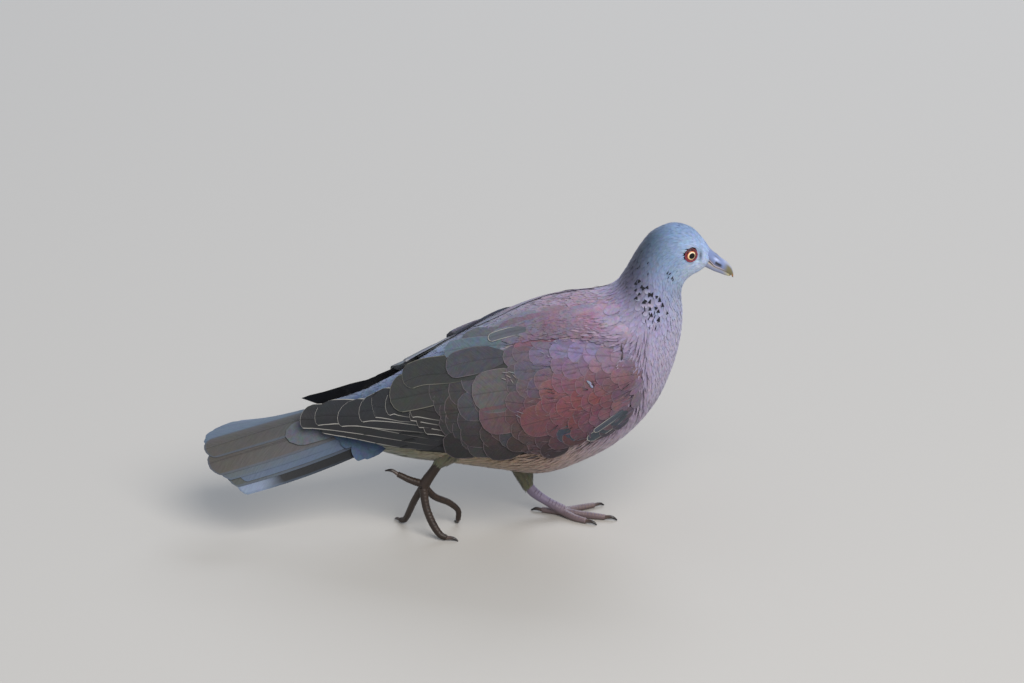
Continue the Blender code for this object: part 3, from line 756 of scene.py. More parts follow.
WING_ROWS = np.array(list(WING_STATIONS.values()))


HIDDEN_SPAN = (-26, 74)     # the folded wing hides the body between these two x
UNDER_UPPER, UNDER_LOWER = 5, 4     # how far the coat runs in under the wing's two edges


def within(value, low, high):
    """True between two limits."""
    return (value >= low) & (value <= high)


def wing_line(point, column):
    """One column of the wing's stations, read in straight lines at the x of each point."""
    return np.interp(point[..., 0], WING_ROWS[::-1, 0], WING_ROWS[::-1, column])


def above_edge(point):
    """How far each point lies above the folded wing's upper edge."""
    return point[..., 2] - wing_line(point, 2)


def below_edge(point):
    """How far each point lies below the folded wing's lower edge."""
    return wing_line(point, 4) - point[..., 2]


def from_back(angle):
    """Degrees from the middle of the back, the same on both sides."""
    return np.degrees(np.arccos(np.cos(angle)))


def uncovered(point, *_):
    """True where a folded wing doesn't hide the body: in front of it, above its upper edge,
    below its lower edge, or behind the vent. The coat runs on a little under the wing."""
    return (~within(point[..., 0], *HIDDEN_SPAN) | (above_edge(point) > -UNDER_UPPER)
            | (below_edge(point) > -UNDER_LOWER))


def bend_flow(a, b):
    """How the coat parts round the bend of the wing: feathers in front of it turn up above
    its middle and down below it, on both sides alike."""
    bend, reach = 9.6, 1.9      # the bend's station, and how many stations the flow reaches
    middle, most = 86, 0.75     # degrees from the back, and radians
    down = from_back(b)
    near = np.exp(-(((a - bend) / reach) ** 2)) * np.clip(np.sin(np.radians(down)), 0, 1)
    return -np.sign(np.sin(b)) * most * near * np.clip((down - middle) / 40, -1, 1)


def fine_bed(span, angles, spacing, length, half_width, lift, seed, keep=None, ease=None,
             ragged=0.06, **colouring):
    """A bed of narrow tufts over a stretch of the body."""
    a, b, count, rng = scatter(body_point, span, np.radians(angles), spacing, seed, keep)
    turn = bend_flow(a, b) + 0.12 * rng.normal(size=count)
    size = length * rng.uniform(0.75, 1.2, count)
    path = shaft_lines(body_point, 1, -1, a, b, turn, size, nodes=4)
    high = lift[1] + ragged * rng.normal(size=count)
    bed = lay(body_point, 1, path, half_width * rng.uniform(0.8, 1.2, count), (lift[0], high),
              ragged, *TUFT, ease=ease)
    return colour_bed(bed, body_colour(bed["a"], bed["b"]), seed + 2, **colouring)


def broad_bed(span, angles, spacing, length, half_width, lift, seed, keep=None, rag=0.03,
              turn=0.0, ease=None, **colouring):
    """A bed of rounded contour feathers over a stretch of the body."""
    a, b, count, rng = scatter(body_point, span, np.radians(angles), spacing, seed, keep)
    way = bend_flow(a, b) - turn * np.sign(np.sin(b)) + 0.08 * rng.normal(size=count)
    size = length * rng.uniform(0.85, 1.15, count)
    path = shaft_lines(body_point, 1, -1, a, b, way, size)
    reach = round_tip(VANE_COLUMNS, half_width * 0.9 / length)
    reach = reach * (1 + rag * rng.normal(size=(count, len(VANE_COLUMNS))))
    bed = lay(body_point, 1, path, half_width * rng.uniform(0.9, 1.1, count),
              (lift[0], lift[1] + 0.05 * rng.normal(size=count)), 0.12, *VANE, reach, ease=ease)
    return colour_bed(bed, body_colour(bed["a"], bed["b"]), seed + 2, **colouring)


def round_tip(u, share):
    """How far each column of a vane reaches so that its tip is half an oval, whose depth is
    a share of the vane's length."""
    return 1 - share * (1 - np.sqrt(np.clip(1 - (0.97 * u) ** 2, 0, 1)))


down_plumage = plumage("down_plumage", 0.0, 3.0, 0.08, bump=0.25, rough=0.75, sheen=0.35,
                       blotch=0.5, blotch_size=2.0)
contour_plumage = plumage("contour_plumage", 0.9, 0.6, 0.10, bump=0.35, rough=0.7, sheen=0.3,
                          blotch=1.0, blotch_size=2.4)

# Breast, belly, flanks and the feathers under the tail: plush, with fine loose barbs.
under_span, under_angles = (-0.2, 10.7), (56, 304)
underparts = [
    broad_bed(under_span, under_angles, 4.4, 12.0, 4.6, (-0.95, -0.40), 11, uncovered),
    fine_bed(under_span, under_angles, 1.3, 8.0, 1.0, (-0.70, -0.05), 14, uncovered),
]


def before_wing(point, *_):
    """True in a band round the front half of a folded wing: before its bend, under its lower
    edge and over its upper edge."""
    x = point[..., 0]
    front = within(x, 75, 85) & within(point[..., 2], 68, 108)
    below = within(x, 20, 78) & within(below_edge(point), -1, 6)
    above = within(x, 50, 80) & within(above_edge(point), -1, 5)
    return (front | below | above) & (np.abs(point[..., 1]) > 14)


lapping = fine_bed((4.0, 11.5), (40, 320), 1.35, 8.5, 0.7, (-0.5, 1.7), 17, before_wing)
lapping["tint"] = blend(lapping["tint"], "#77677b",
                        0.4 * np.clip((lapping["points"][..., 0] - 50) / 20, 0, 1))
underparts.append(lapping)
add_coat("coat_underparts", underparts, down_plumage, body_unwrap)

# Back and rump: rounded feathers that show as soft scales, with loose barbs between them.
back_span, back_angles = (1.2, 10.7), (-58, 58)
back = [
    broad_bed(back_span, back_angles, 4.2, 13.0, 4.8, (-0.7, -0.1), 21, uncovered, vary=0.08,
              warm=0.05),
    fine_bed(back_span, back_angles, 1.5, 5.0, 0.6, (-0.6, 0.0), 24, uncovered, ragged=0.03,
             vary=0.10, warm=0.06),
]
add_coat("coat_back", back, contour_plumage, body_unwrap)


def clear_of_face(point, *_):
    """True where a feather leaves the bare skin round the eye free: close behind the eye,
    but further off in front of it, as feathers there point at the eye."""
    beside = (point - EYE_PLACE) * (1, 0, 1)
    bare, more_in_front = 3.0, 1.6
    limit = bare + more_in_front * np.clip(unit(beside)[..., 0], 0, 1)
    return (np.linalg.norm(beside, axis=-1) > limit) | (np.abs(point[..., 1]) < 5)


# Neck and head: the feathers get shorter and tighter towards the bill.
# Dark creases between the eye and the bill, and at the corner of the mouth: x, z, half
# width, half height and depth of shade.
CREASES = ((109.0, 139.4, 0.85, 2.8, 0.85), (112.6, 133.6, 0.7, 1.8, 0.55))
neck_coat = [
    fine_bed((10.3, 12.6), (0, 360), 1.1, 5.6, 0.8, (-0.65, -0.1), 31),
    fine_bed((12.4, 14.2), (0, 360), 0.95, 4.4, 0.66, (-0.5, -0.08), 34),
]
add_coat("coat_neck", neck_coat, down_plumage, body_unwrap)
head_coat = [
    fine_bed((14.0, 16.4), (0, 360), 0.66, 3.0, 0.42, (-0.3, -0.06), 41, clear_of_face,
             ragged=0.03),
    fine_bed((16.3, 18.0), (0, 360), 0.54, 2.1, 0.34, (-0.22, -0.05), 44, clear_of_face,
             ragged=0.025),
]
for bed in head_coat:
    place = bed["points"][..., (0, 2)]
    crease = sum(shade * np.exp(-(((place - (x, z)) / (half_x, half_z)) ** 2).sum(-1))
                 for x, z, half_x, half_z, shade in CREASES)
    bed["tint"] = bed["tint"] * (1 - np.clip(crease, 0, 0.9)[..., None])
add_coat("coat_head", head_coat, down_plumage, body_unwrap)


def above_wing(point, *_):
    """True just above the upper edge of a folded wing, off the middle of the back."""
    margin = np.interp(point[..., 0], (5, 35), (6, 0))
    return (above_edge(point) > margin) & (np.abs(point[..., 1]) > wing_line(point, 1) - 9)


# Scapulars: soft feathers of the shoulder that spill over the upper edge of each wing. They
# run from mauve in front through worn patches of wine to slate.
SCAPULAR_START = 3.6    # the station of the first of these colours
SCAPULAR_COLOURS = ("#75818f", "#686f7c", "#696370", "#786575", "#87748a", "#94849b")


def scapular_colour(station, points, seed):
    """The shoulder's colour from tail to neck, in patches that turn to wine or to slate, and
    darker where the feathers spill over the wing."""
    rows = np.array([linear(code) for code in SCAPULAR_COLOURS])
    colours = smooth(rows, np.clip(station - SCAPULAR_START, 0, len(rows) - 1))
    patch = mottle(points, 7.0, seed)
    wine = 0.45 * np.clip(patch, 0, 1) * np.clip(station / 2 - 1.2, 0, 1)
    colours = blend(colours, "#7c4e5c", wine)
    colours = blend(colours, "#626a78", 0.4 * np.clip(-patch, 0, 1))
    return blend(colours, "#635868", 0.75 * np.clip((3 - above_edge(points)) / 9, 0, 1))


def gentle(value):
    """From 0 to 1, as a cubic that starts and ends level."""
    share = np.clip(value, 0, 1)
    return share**2 * (3 - 2 * share)


def over_shoulder(station, angle, height):
    """A scapular's lift: a small share of it near the middle of the back and all of it where
    the wing lies under it, less up to 1 mm past the wing's edge, where the tips press down.
    On the left the coat lies closer, and the whole lift starts further down."""
    left_start, right_start, width = 38, 16, 24      # degrees from the back
    point = body_point(station, angle)
    start = np.where(point[..., 1] > 0, left_start, right_start)
    share = gentle((from_back(angle) - start) / width)
    past = np.clip((1.5 - above_edge(point)) / 4.5, 0, 1)
    return height * (0.15 + 0.85 * share) - past


def scapular_bed(span, spacing, length, half_width, lift, seed):
    """A bed of scapulars on both sides."""
    bed = broad_bed(span, (-66, 66), spacing, length, half_width, lift, seed, above_wing,
                    rag=0.04, turn=0.16, ease=over_shoulder)
    colours = scapular_colour(bed["a"], bed["points"], 55)
    return colour_bed(bed, colours, seed + 5, root_down_and_shade=0.92, vary=0.05, warm=0.03)


def by_wing_edge(point, *_):
    """True in a narrow band along a folded wing's upper edge."""
    return (within(above_edge(point), -4, 4) & within(point[..., 0], 22, 66)
            & (np.abs(point[..., 1]) > 12))


def edge_barbs(seed):
    """Loose barbs that close the line between the scapulars and the wing."""
    bed = fine_bed((4.6, 9.8), (-70, 70), 1.15, 4.4, 0.55, (1.4, 1.9), seed, by_wing_edge,
                   ease=over_shoulder, ragged=0.02)
    colours = scapular_colour(bed["a"], bed["points"], 55)
    return colour_bed(bed, colours, seed + 5, root_down_and_shade=1.0, vary=0.06, warm=0.04)


scapulars = [
    scapular_bed((3.0, 6.3), 4.4, 18.0, 5.2, (0.9, 1.9), 51),
    scapular_bed((5.4, 8.6), 3.6, 12.5, 4.1, (0.8, 1.9), 61),
    scapular_bed((7.6, 9.8), 3.0, 8.5, 3.1, (0.1, 1.3), 71),
    edge_barbs(75),
]
add_coat("coat_scapulars", scapulars, contour_plumage, body_unwrap)


# The neck's patch: small stiff feathers on each side, whose pale lilac tips part over black
# bases, so that rows of small black wedges show between them. Finer dark streaks run out
# below, and a few dark ticks cross the throat behind the cheek.
PATCH_MIDDLE, PATCH_HALF = (11.65, 78.0), (0.68, 28.0)    # stations, degrees from the back
WEDGE_UP = np.array([0.10, 0.60, 1.0])
WEDGE_DOWN = np.array([1.0, 0.75, 0.12])
WEDGE_REACH = np.array([1.0, 0.88, 1.0])
# Each group of marks: middle, half size, spacing, length, half width, spread, seed.
NECK_MARKS = (
    ((11.78, 76.0), (0.60, 38.0), 2.8, 2.0, 0.95, WEDGE_UP, 92),
    ((11.85, 70.0), (0.5, 26.0), 3.3, 1.8, 0.85, WEDGE_DOWN, 96),
    ((11.15, 86.0), (0.36, 15.0), 1.9, 2.0, 0.22, TUFT_SPREAD, 101),
    ((13.8, 108.0), (0.28, 12.0), 1.4, 2.0, 0.32, WEDGE_UP, 105),
    ((12.4, 52.0), (0.9, 14.0), 3.6, 1.3, 0.28, WEDGE_UP, 109),
)


def inside_oval(middle, half):
    """A test for places within an oval of stations and degrees on either side of the body."""
    def inside(_, a, b):
        return ((a - middle[0]) / half[0]) ** 2 + ((from_back(b) - middle[1]) / half[1]) ** 2 < 1
    return inside


def neck_patch_bed(seed):
    """The patch's own feathers, with paler tips than the neck's."""
    a, b, count, rng = scatter(body_point, (10, 14), (0, 2 * math.pi), 2.6, seed,
                               inside_oval(PATCH_MIDDLE, PATCH_HALF))
    path = shaft_lines(body_point, 1, -1, a, b, 0.1 * rng.normal(size=count),
                       np.full(count, 4.4), nodes=4)
    bed = lay(body_point, 1, path, 1.5 * rng.uniform(0.8, 1.1, count), (-0.4, 0.02), 0.04, *VANE,
              round_tip(VANE_COLUMNS, 0.3))
    tip = np.clip((bed["v"] - 0.5) / 0.4, 0, 1)
    colour = blend(body_colour(bed["a"], bed["b"]), "#b4b2cc", 0.28 * tip)
    return colour_bed(bed, colour, seed + 2, root_down_and_shade=0.8)


def neck_marks_bed(middle, half, spacing, length, half_width, spread, seed):
    """Black marks over the neck's feathers: wedges, streaks or ticks."""
    a, b, count, rng = scatter(body_point, (10, 15), (0, 2 * math.pi), spacing, seed,
                               inside_oval(middle, half))
    path = tuft_lines(body_point, 1, -1, a, b, 0.22, length, rng)
    bed = lay(body_point, 1, path, half_width * rng.uniform(0.7, 1.2, count), (0.16, 0.22), 0.02,
              *TUFT_GRID, spread, WEDGE_REACH)
    return colour_bed(bed, linear("#12131b"), seed + 2, root_down_and_shade=1.0)


patch_beds = [neck_patch_bed(91)] + [neck_marks_bed(*mark) for mark in NECK_MARKS]
add_coat("coat_neck_patch", patch_beds, down_plumage, body_unwrap)


# Down and short feathers on the thighs.
def thigh_bed(stations, span, seed):
    """Narrow tufts that point down a thigh."""
    surface = limb_point(stations)
    a, b, _, rng = scatter(surface, span, (0, 2 * math.pi), 1.1, seed)
    points = surface(a, b)
    normal = np.cross(*slopes(surface, a, b))
    away = points - smooth(stations, a)[:, :3]
    out = 1 if (normal * away).sum() > 0 else -1
    path = tuft_lines(surface, out, 1, a, b, 0.12, 4.6, rng)
    bed = lay(surface, out, path, 0.7, (-0.8, -0.05), 0.06, *TUFT)
    return colour_bed(bed, thigh_colour(bed["a"]), seed + 2)


thigh_coat = [thigh_bed(THIGHS["left"], (0.1, 2.75), 95), thigh_bed(THIGHS["right"], (0.6, 2.9), 98)]
add_coat("coat_thighs", thigh_coat, down_plumage, body_unwrap)

# ================================================================ wings
# A folded wing: a thin bed of skin and down, with stiff feathers laid on it from the tip
# forward. Long quills at the back, then big rounded tertials, then rows of coverts that
# get smaller towards the bend. Every feather is a keratin vane on a horny shaft.

QUILL_ROWS = np.array([0.0, 0.12, 0.25, 0.4, 0.55, 0.68, 0.78, 0.86, 0.92, 0.965, 1.0])
QUILL_COLUMNS = np.sin(np.linspace(-1, 1, 9) * math.pi / 2)
QUILL_SPREAD = np.array([0.4, 0.75, 0.93, 1.0, 1.0, 1.0, 1.0, 1.0, 1.0, 1.0, 1.0])
# The bed's stretch of the wing, and how far its inner face lies under the wing's surface.
BED_LENGTH, BED_WIDTH, BED_DEPTH = (0.1, 6.2), (0.02, 0.98), 1.8
SINK = 1.2              # how far the feathers sink at the wing's upper edge
OVERHANG = 1.5          # how far a covert may hang over the wing's lower edge
# How high the coverts may stand over the bed at each wing station.
WING_ROOM = np.array([1.2, 2.2, 2.8, 3.0, 3.0, 2.8, 2.4, 2.0, 1.7, 1.4, 1.0])
# Each quill's shaft in wing stations (from the bend, and from the upper edge), its half
# width, and its tip's height over the bed.
QUILLS = {
    "primary_7": (((4.6, 0.88), (6.0, 0.86), (7.2, 0.80), (8.1, 0.76), (8.9, 0.80)), 5.4, 0.25),
    "primary_6": (((4.2, 0.86), (5.1, 0.85), (6.0, 0.78), (6.85, 0.69), (7.94, 0.59),
                   (8.73, 0.54), (9.35, 0.50), (9.9, 0.46)), 6.0, 0.40),
    "primary_5": (((4.3, 0.80), (5.25, 0.785), (6.75, 0.60), (7.7, 0.45), (8.53, 0.36),
                   (9.12, 0.36)), 6.0, 0.55),
    "primary_4": (((4.4, 0.73), (5.55, 0.67), (6.5, 0.57), (7.3, 0.49), (7.81, 0.43),
                   (8.29, 0.42)), 6.5, 0.70),
    "primary_3": (((4.6, 0.64), (5.75, 0.565), (6.6, 0.45), (7.3, 0.36), (7.68, 0.36)), 7.0, 0.85),
    "primary_2": (((4.8, 0.57), (6.18, 0.48), (6.8, 0.38), (7.2, 0.31), (7.35, 0.32)), 7.4, 1.0),
    "primary_1": (((5.0, 0.50), (6.3, 0.41), (6.7, 0.33), (7.0, 0.32)), 7.2, 1.15),
    "secondary_4": (((4.4, 0.80), (5.35, 0.72), (5.7, 0.68), (6.0, 0.66)), 5.0, 1.3),
    "secondary_3": (((4.5, 0.74), (5.45, 0.655), (5.9, 0.60), (6.17, 0.58)), 5.0, 1.4),
    "secondary_2": (((4.6, 0.68), (5.58, 0.59), (6.1, 0.52), (6.33, 0.49)), 5.0, 1.5),
    "secondary_1": (((4.6, 0.62), (5.6, 0.54), (6.1, 0.47), (6.33, 0.46)), 5.0, 1.6),
    "tertial_3": (((4.4, 0.30), (5.2, 0.30), (6.1, 0.30), (6.86, 0.26)), 9.2, 2.0),
    "tertial_2": (((4.3, 0.24), (5.35, 0.20), (6.0, 0.13), (6.50, 0.12)), 7.2, 2.3),
}
# How far each kind's tip curves back above and below, and the column where it ends.
TIP_ARC = {"primary": (26.0, 7.0, 0.4), "secondary": (8.0, 5.0, 0.2), "tertial": (9.0, 11.0, 0.0)}
FAR_TAPER = 32.0        # how far the left primaries' edges end before their points
FAR_PAINTED_SHADE = 0.5         # and how bright they are, of the right ones: painted shade, as the far wing lies in shadow
QUILL_COLOUR = {"primary": "#262729", "secondary": "#2a2929", "tertial": "#353634"}

# The coverts' colours down the wing (upper edge to lower edge) at stations from the bend.
WING_COLOURS = {
    0.0: ("#827a8f", "#827a8f", "#817689", "#7f7288", "#81788d", "#82798e"),
    2.0: ("#7d7085", "#776980", "#6b4e57", "#60434b", "#645260", "#34353a"),
    2.7: ("#756276", "#70647f", "#6b4c55", "#683f45", "#66424e", "#26272a"),
    3.4: ("#6e5866", "#6a6280", "#66495a", "#6b4046", "#5c3b40", "#1e1c1d"),
    4.1: ("#644f5c", "#5a4e59", "#4d484d", "#5e4448", "#493937", "#1b1817"),
    4.7: ("#4d4f57", "#464649", "#464346", "#4a4144", "#353031", "#1b1917"),
    5.4: ("#474b4f", "#3e3e3f", "#393738", "#302e2e", "#272625", "#191816"),
    6.2: ("#3b3d3d", "#363634", "#343332", "#2c2b2a", "#232321", "#191817"),
}
WING_COLOUR_ROWS = np.array([[linear(code) for code in row] for row in WING_COLOURS.values()])


def wing_surface(side):
    """One wing's outer face: straight from its upper to its lower edge at each station,
    plus a bulge that follows half a sine wave."""
    def point(along, across):
        rows = smooth(WING_ROWS, along)
        fall_y, fall_z = rows[..., 3] - rows[..., 1], rows[..., 4] - rows[..., 2]
        bulge = rows[..., 5] * np.sin(math.pi * across) / np.hypot(fall_y, fall_z)
        y = rows[..., 1] + fall_y * across - fall_z * bulge
        z = rows[..., 2] + fall_z * across + fall_y * bulge
        return np.stack([rows[..., 0], side * y, z], axis=-1)
    return point


def wing_colour(along, across):
    """The coverts' colour at a place on the wing, read from the table of colours."""
    stations = np.array(list(WING_COLOURS))
    row = np.interp(along, stations, np.arange(len(stations)))
    column = np.clip(across, 0, 1) * (WING_COLOUR_ROWS.shape[1] - 1)
    i = np.minimum(row.astype(int), len(stations) - 2)
    j = np.minimum(column.astype(int), WING_COLOUR_ROWS.shape[1] - 2)
    s, t = (row - i)[..., None], (column - j)[..., None]
    upper = WING_COLOUR_ROWS[i, j] * (1 - t) + WING_COLOUR_ROWS[i, j + 1] * t
    lower = WING_COLOUR_ROWS[i + 1, j] * (1 - t) + WING_COLOUR_ROWS[i + 1, j + 1] * t
    return upper * (1 - s) + lower * s


def wing_unwrap(along, across):
    """Where a point of the wing lies on its unwrap."""
    return np.stack([0.03 + 0.94 * np.clip(along / 10, 0, 1),
                     0.03 + 0.94 * np.clip(across, 0, 1)], axis=-1)


def drawn(paths, nodes=9):
    """Shaft lines through the given places, as smooth curves cut at equal steps."""
    return np.array([smooth(path, np.linspace(0, len(path) - 1, nodes)) for path in paths])


def give_cells(bed, first=0):
    """Gives each big feather of a bed a tall cell of its own in the unwrap, side by side."""
    place = 0.03 + 0.06 * (first + np.arange(len(bed["points"])))
    bed["home"] = np.stack([place, np.full(len(place), 0.5)], axis=-1)
    bed["patch"] = (0.026, 0.44)


def arc_tip(u, above, below, length, peak=0.0):
    """A vane's reach when its tip curves back by one distance along its upper side and by
    another along its lower side, in quarter ovals that meet at the column `peak`."""
    back = np.where(u < peak, above, below) / length[:, None]
    away = np.where(u < peak, (peak - u) / (1 + peak), (u - peak) / (1 - peak))
    return 1 - back * (1 - np.sqrt(np.clip(1 - (0.985 * away) ** 2, 0, 1)))


# The flight feathers' undersides face the body and are darkened as painted shade.
flight_plumage = plumage("flight_plumage", 1.4, 1.0, 0.10, shaft=0.7, shaft_shade=0.85, rim=0.44,
                         rim_colour="#928f8a", below=0.4, bump=0.45, rough=0.55, sheen=0.08,
                         blotch=0.4, blotch_size=5.0)
# The tertials' undersides are lightened: a paler grey in life, and far more as painted light where they
# show in shadow above the back.
tertial_plumage = plumage("tertial_plumage", 1.4, 1.0, 0.14, shaft=0.7, shaft_shade=0.8, rim=0.42,
                          rim_colour="#6f6c62", rim_strength=0.75, below=7.0, bump=0.45,
                          rough=0.58, sheen=0.12, blotch=0.6, blotch_size=4.0)
# The coverts' undersides are lightened a little as painted light where they show in shadow.
covert_plumage = plumage("covert_plumage", 1.0, 0.8, 0.14, shaft=0.5, shaft_shade=0.85, rim=0.40,
                         rim_colour="#7d7076", rim_strength=0.35, below=1.3, bump=0.5, rough=0.62,
                         sheen=0.22, blotch=0.9, blotch_size=3.0)


def tucked(_, across, height):
    """The lift of a wing's feathers, which sink under the scapulars at its upper edge."""
    share = gentle((across + 0.02) / 0.20)
    return height * share - SINK * (1 - share)


def quill_beds(side, kinds):
    """The quills of one wing, one bed for each kind. The left primaries are darker, as painted
    shade of the far wing, and narrow to points, and the left tertials are lightened to grey as painted
    light where they sink in shadow under the back's coat."""
    surface, out = wing_surface(side), -side
    beds = []
    first = 0
    for kind in kinds:
        above, below, peak = TIP_ARC[kind]
        shafts, half_width, high = zip(*(spec for name, spec in QUILLS.items()
                                         if name.startswith(kind)))
        path = drawn(shafts)
        high = np.array(high)
        length = run_of(surface(path[..., 0], path[..., 1]))
        reach = arc_tip(QUILL_COLUMNS, above, below, length, peak)
        colours, ease = linear(QUILL_COLOUR[kind]), None
        if side > 0 and kind == "primary":
            reach = 1 - np.abs(QUILL_COLUMNS) * FAR_TAPER / length[:, None]
            colours = FAR_PAINTED_SHADE * colours
        if side > 0:
            reach = reach[:, ::-1]
            ease = tucked if kind == "tertial" else None
        bed = lay(surface, out, path, half_width, (high - 0.25, high), 0.06, QUILL_ROWS,
                  QUILL_COLUMNS, QUILL_SPREAD, reach, shaft=0.25 * -side, ease=ease)
        give_cells(bed, first)
        first += len(high)
        if ease:
            # Painted light: the left tertials' upper parts, in shadow under the back's coat, are
            # lightened to grey; their edges and tips keep their colour.
            inside = (np.abs(bed["u"]) < 0.99) & (bed["v"] < 0.99)
            colours = blend(colours, "#848a96", inside * (0.14 - bed["b"]) / 0.12)
        beds.append(colour_bed(bed, colours, 60 + first + side, root_down_and_shade=1.0, vary=0.04,
                               warm=0.01))
    return beds


# Feathers that stand out from their row: the shaft, the half width, the height of the tip
# over the bed and the colour.
ODD_COVERTS = {
    "worn_grey": (((3.95, 0.44), (4.5, 0.44), (4.95, 0.45)), 9.6, 2.75, "#555253"),
    "red_grey": (((3.85, 0.60), (4.4, 0.63), (4.82, 0.65)), 8.6, 2.7, "#594649"),
    "wine_low": (((3.1, 0.66), (3.7, 0.69), (4.10, 0.71)), 8.2, 2.9, "#654246"),
    "slate_low": (((3.6, 0.80), (4.1, 0.81), (4.48, 0.83)), 6.0, 2.3, "#393a3e"),
    "wine_edge": (((3.0, 0.85), (3.5, 0.88), (3.97, 0.92)), 5.6, 2.2, "#4c393b"),
    "slate_front": (((2.2, 0.79), (2.8, 0.83), (3.38, 0.85)), 5.2, 2.5, "#353b43"),
    "wine_scapular": (((3.3, 0.14), (3.8, 0.15), (4.22, 0.17)), 4.6, 2.3, "#6e4f5c"),
    "inner_covert": (((4.4, 0.20), (5.0, 0.18), (5.46, 0.18)), 7.0, 2.9, "#424247"),
    "tertial_1": (((4.0, 0.14), (4.9, 0.07), (5.5, 0.02)), 5.2, 2.2, "#56646e"),
}
# Feathers with a pale edge: the alula at the wing's front, and a small scapular.
EDGED_FEATHERS = {
    "alula": (((1.75, 0.87), (2.2, 0.91), (2.75, 0.95)), 2.8, 2.7, "#3c434b"),
    "alula_upper": (((1.9, 0.82), (2.25, 0.85), (2.62, 0.89)), 1.7, 2.95, "#454b55"),
    "small_scapular": (((4.0, 0.03), (4.33, 0.03), (4.66, 0.04)), 2.5, 2.3, "#545860"),
}
# The great coverts: the place of each tip, and its height over the bed.
GREAT_COVERTS = ((5.62, 0.58, 2.0), (5.5, 0.66, 1.95), (5.36, 0.74, 1.9), (5.2, 0.82, 1.85),
                 (5.06, 0.89, 1.8), (5.75, 0.48, 2.05), (5.85, 0.36, 2.1))


def wing_room(station):
    """How much of the coverts' full height there is room for at a station of the wing."""
    return np.interp(station, np.arange(len(WING_ROOM)), WING_ROOM) / WING_ROOM.max()


def covert_bed(side, span, rows, spacing, length, half_width, lift, seed, vary=0.08, warm=0.06):
    """A scattered bed of rounded coverts that end near the wing's lower edge."""
    surface, out = wing_surface(side), -side
    a, b, _, rng = scatter(surface, span, rows, spacing, seed)
    edges = smooth(WING_ROWS, a)
    deep = np.hypot(edges[:, 3] - edges[:, 1], edges[:, 4] - edges[:, 2])
    inside = (1 - b) * deep > half_width - OVERHANG
    a, b = a[inside], b[inside]
    count = len(a)
    size = length * rng.uniform(0.9, 1.12, count)
    turn = 0.10 * rng.normal(size=count)
    path = shaft_lines(surface, out, 1, a, b, turn, size)
    reach = round_tip(VANE_COLUMNS, half_width * 0.9 / length)
    reach = reach * (1 + 0.012 * rng.normal(size=(count, len(VANE_COLUMNS))))
    wide, room = half_width * rng.uniform(0.9, 1.1, count), wing_room(a)
    high = (lift[1] + 0.05 * rng.normal(size=count)) * room
    bed = lay(surface, out, path, wide, (lift[0] * room, high), 0.10, *VANE, reach, ease=tucked)
    # Each covert has mostly one colour, that of the place near its tip.
    colours = wing_colour(path[:, 4, 0], path[:, 4, 1])[:, None, None, :]
    colours = 0.6 * colours + 0.4 * wing_colour(bed["a"], bed["b"])
    # Painted light: on the left, the coverts at the wing's upper edge, in shadow above the back, are
    # lightened to grey.
    if side > 0:
        colours = blend(colours, "#777886", (0.20 - bed["b"]) / 0.12)
    return colour_bed(bed, colours, seed + 2, root_down_and_shade=0.9, vary=vary, warm=warm)


def drawn_covert_bed(side, paths, half_width, high, codes, seed, ease=None):
    """A bed of coverts, each drawn along its own listed shaft."""
    surface, out = wing_surface(side), -side
    path = drawn(paths, 6)
    half_width, high = np.array(half_width), np.array(high)
    tip = half_width[:, None] * 0.95
    reach = arc_tip(VANE_COLUMNS, tip, tip, run_of(surface(path[..., 0], path[..., 1])))
    bed = lay(surface, out, path, half_width, (high - 0.7, high), 0.10, *VANE, reach, ease=ease)
    colours = np.array([linear(code) for code in codes])[:, None, None, :]
    # Painted light: on the left these coverts are lightened to grey at the wing's upper edge, in shadow
    # above the back, and their edges there get a pale painted sheen.
    if side > 0:
        colours = blend(colours, "#62646f", (0.26 - bed["b"]) / 0.12)
        painted_sheen_hem = np.abs(bed["u"]) > 0.99
        colours = blend(colours, "#c0c2d0", painted_sheen_hem * (0.22 - bed["b"]) / 0.06)
    return colour_bed(bed, colours, seed, root_down_and_shade=0.9, vary=0.02, warm=0.01)


def barb_bed(side, span, rows, spacing, length, lift, seed):
    """Loose barbs and small soft feathers that blur the edges between the coverts."""
    surface, out = wing_surface(side), -side
    a, b, count, rng = scatter(surface, span, rows, spacing, seed)
    path = tuft_lines(surface, out, 1, a, b, 0.2, length, rng)
    wide, room = 0.55 * rng.uniform(0.7, 1.2, count), wing_room(a)
    high = (lift[1] + 0.03 * rng.normal(size=count)) * room
    bed = lay(surface, out, path, wide, (lift[0] * room, high), 0.03, *TUFT, ease=tucked)
    colours = wing_colour(path[:, 2, 0], path[:, 2, 1])[:, None, None, :]
    return colour_bed(bed, colours, seed + 2, root_down_and_shade=1.0, vary=0.08, warm=0.05)


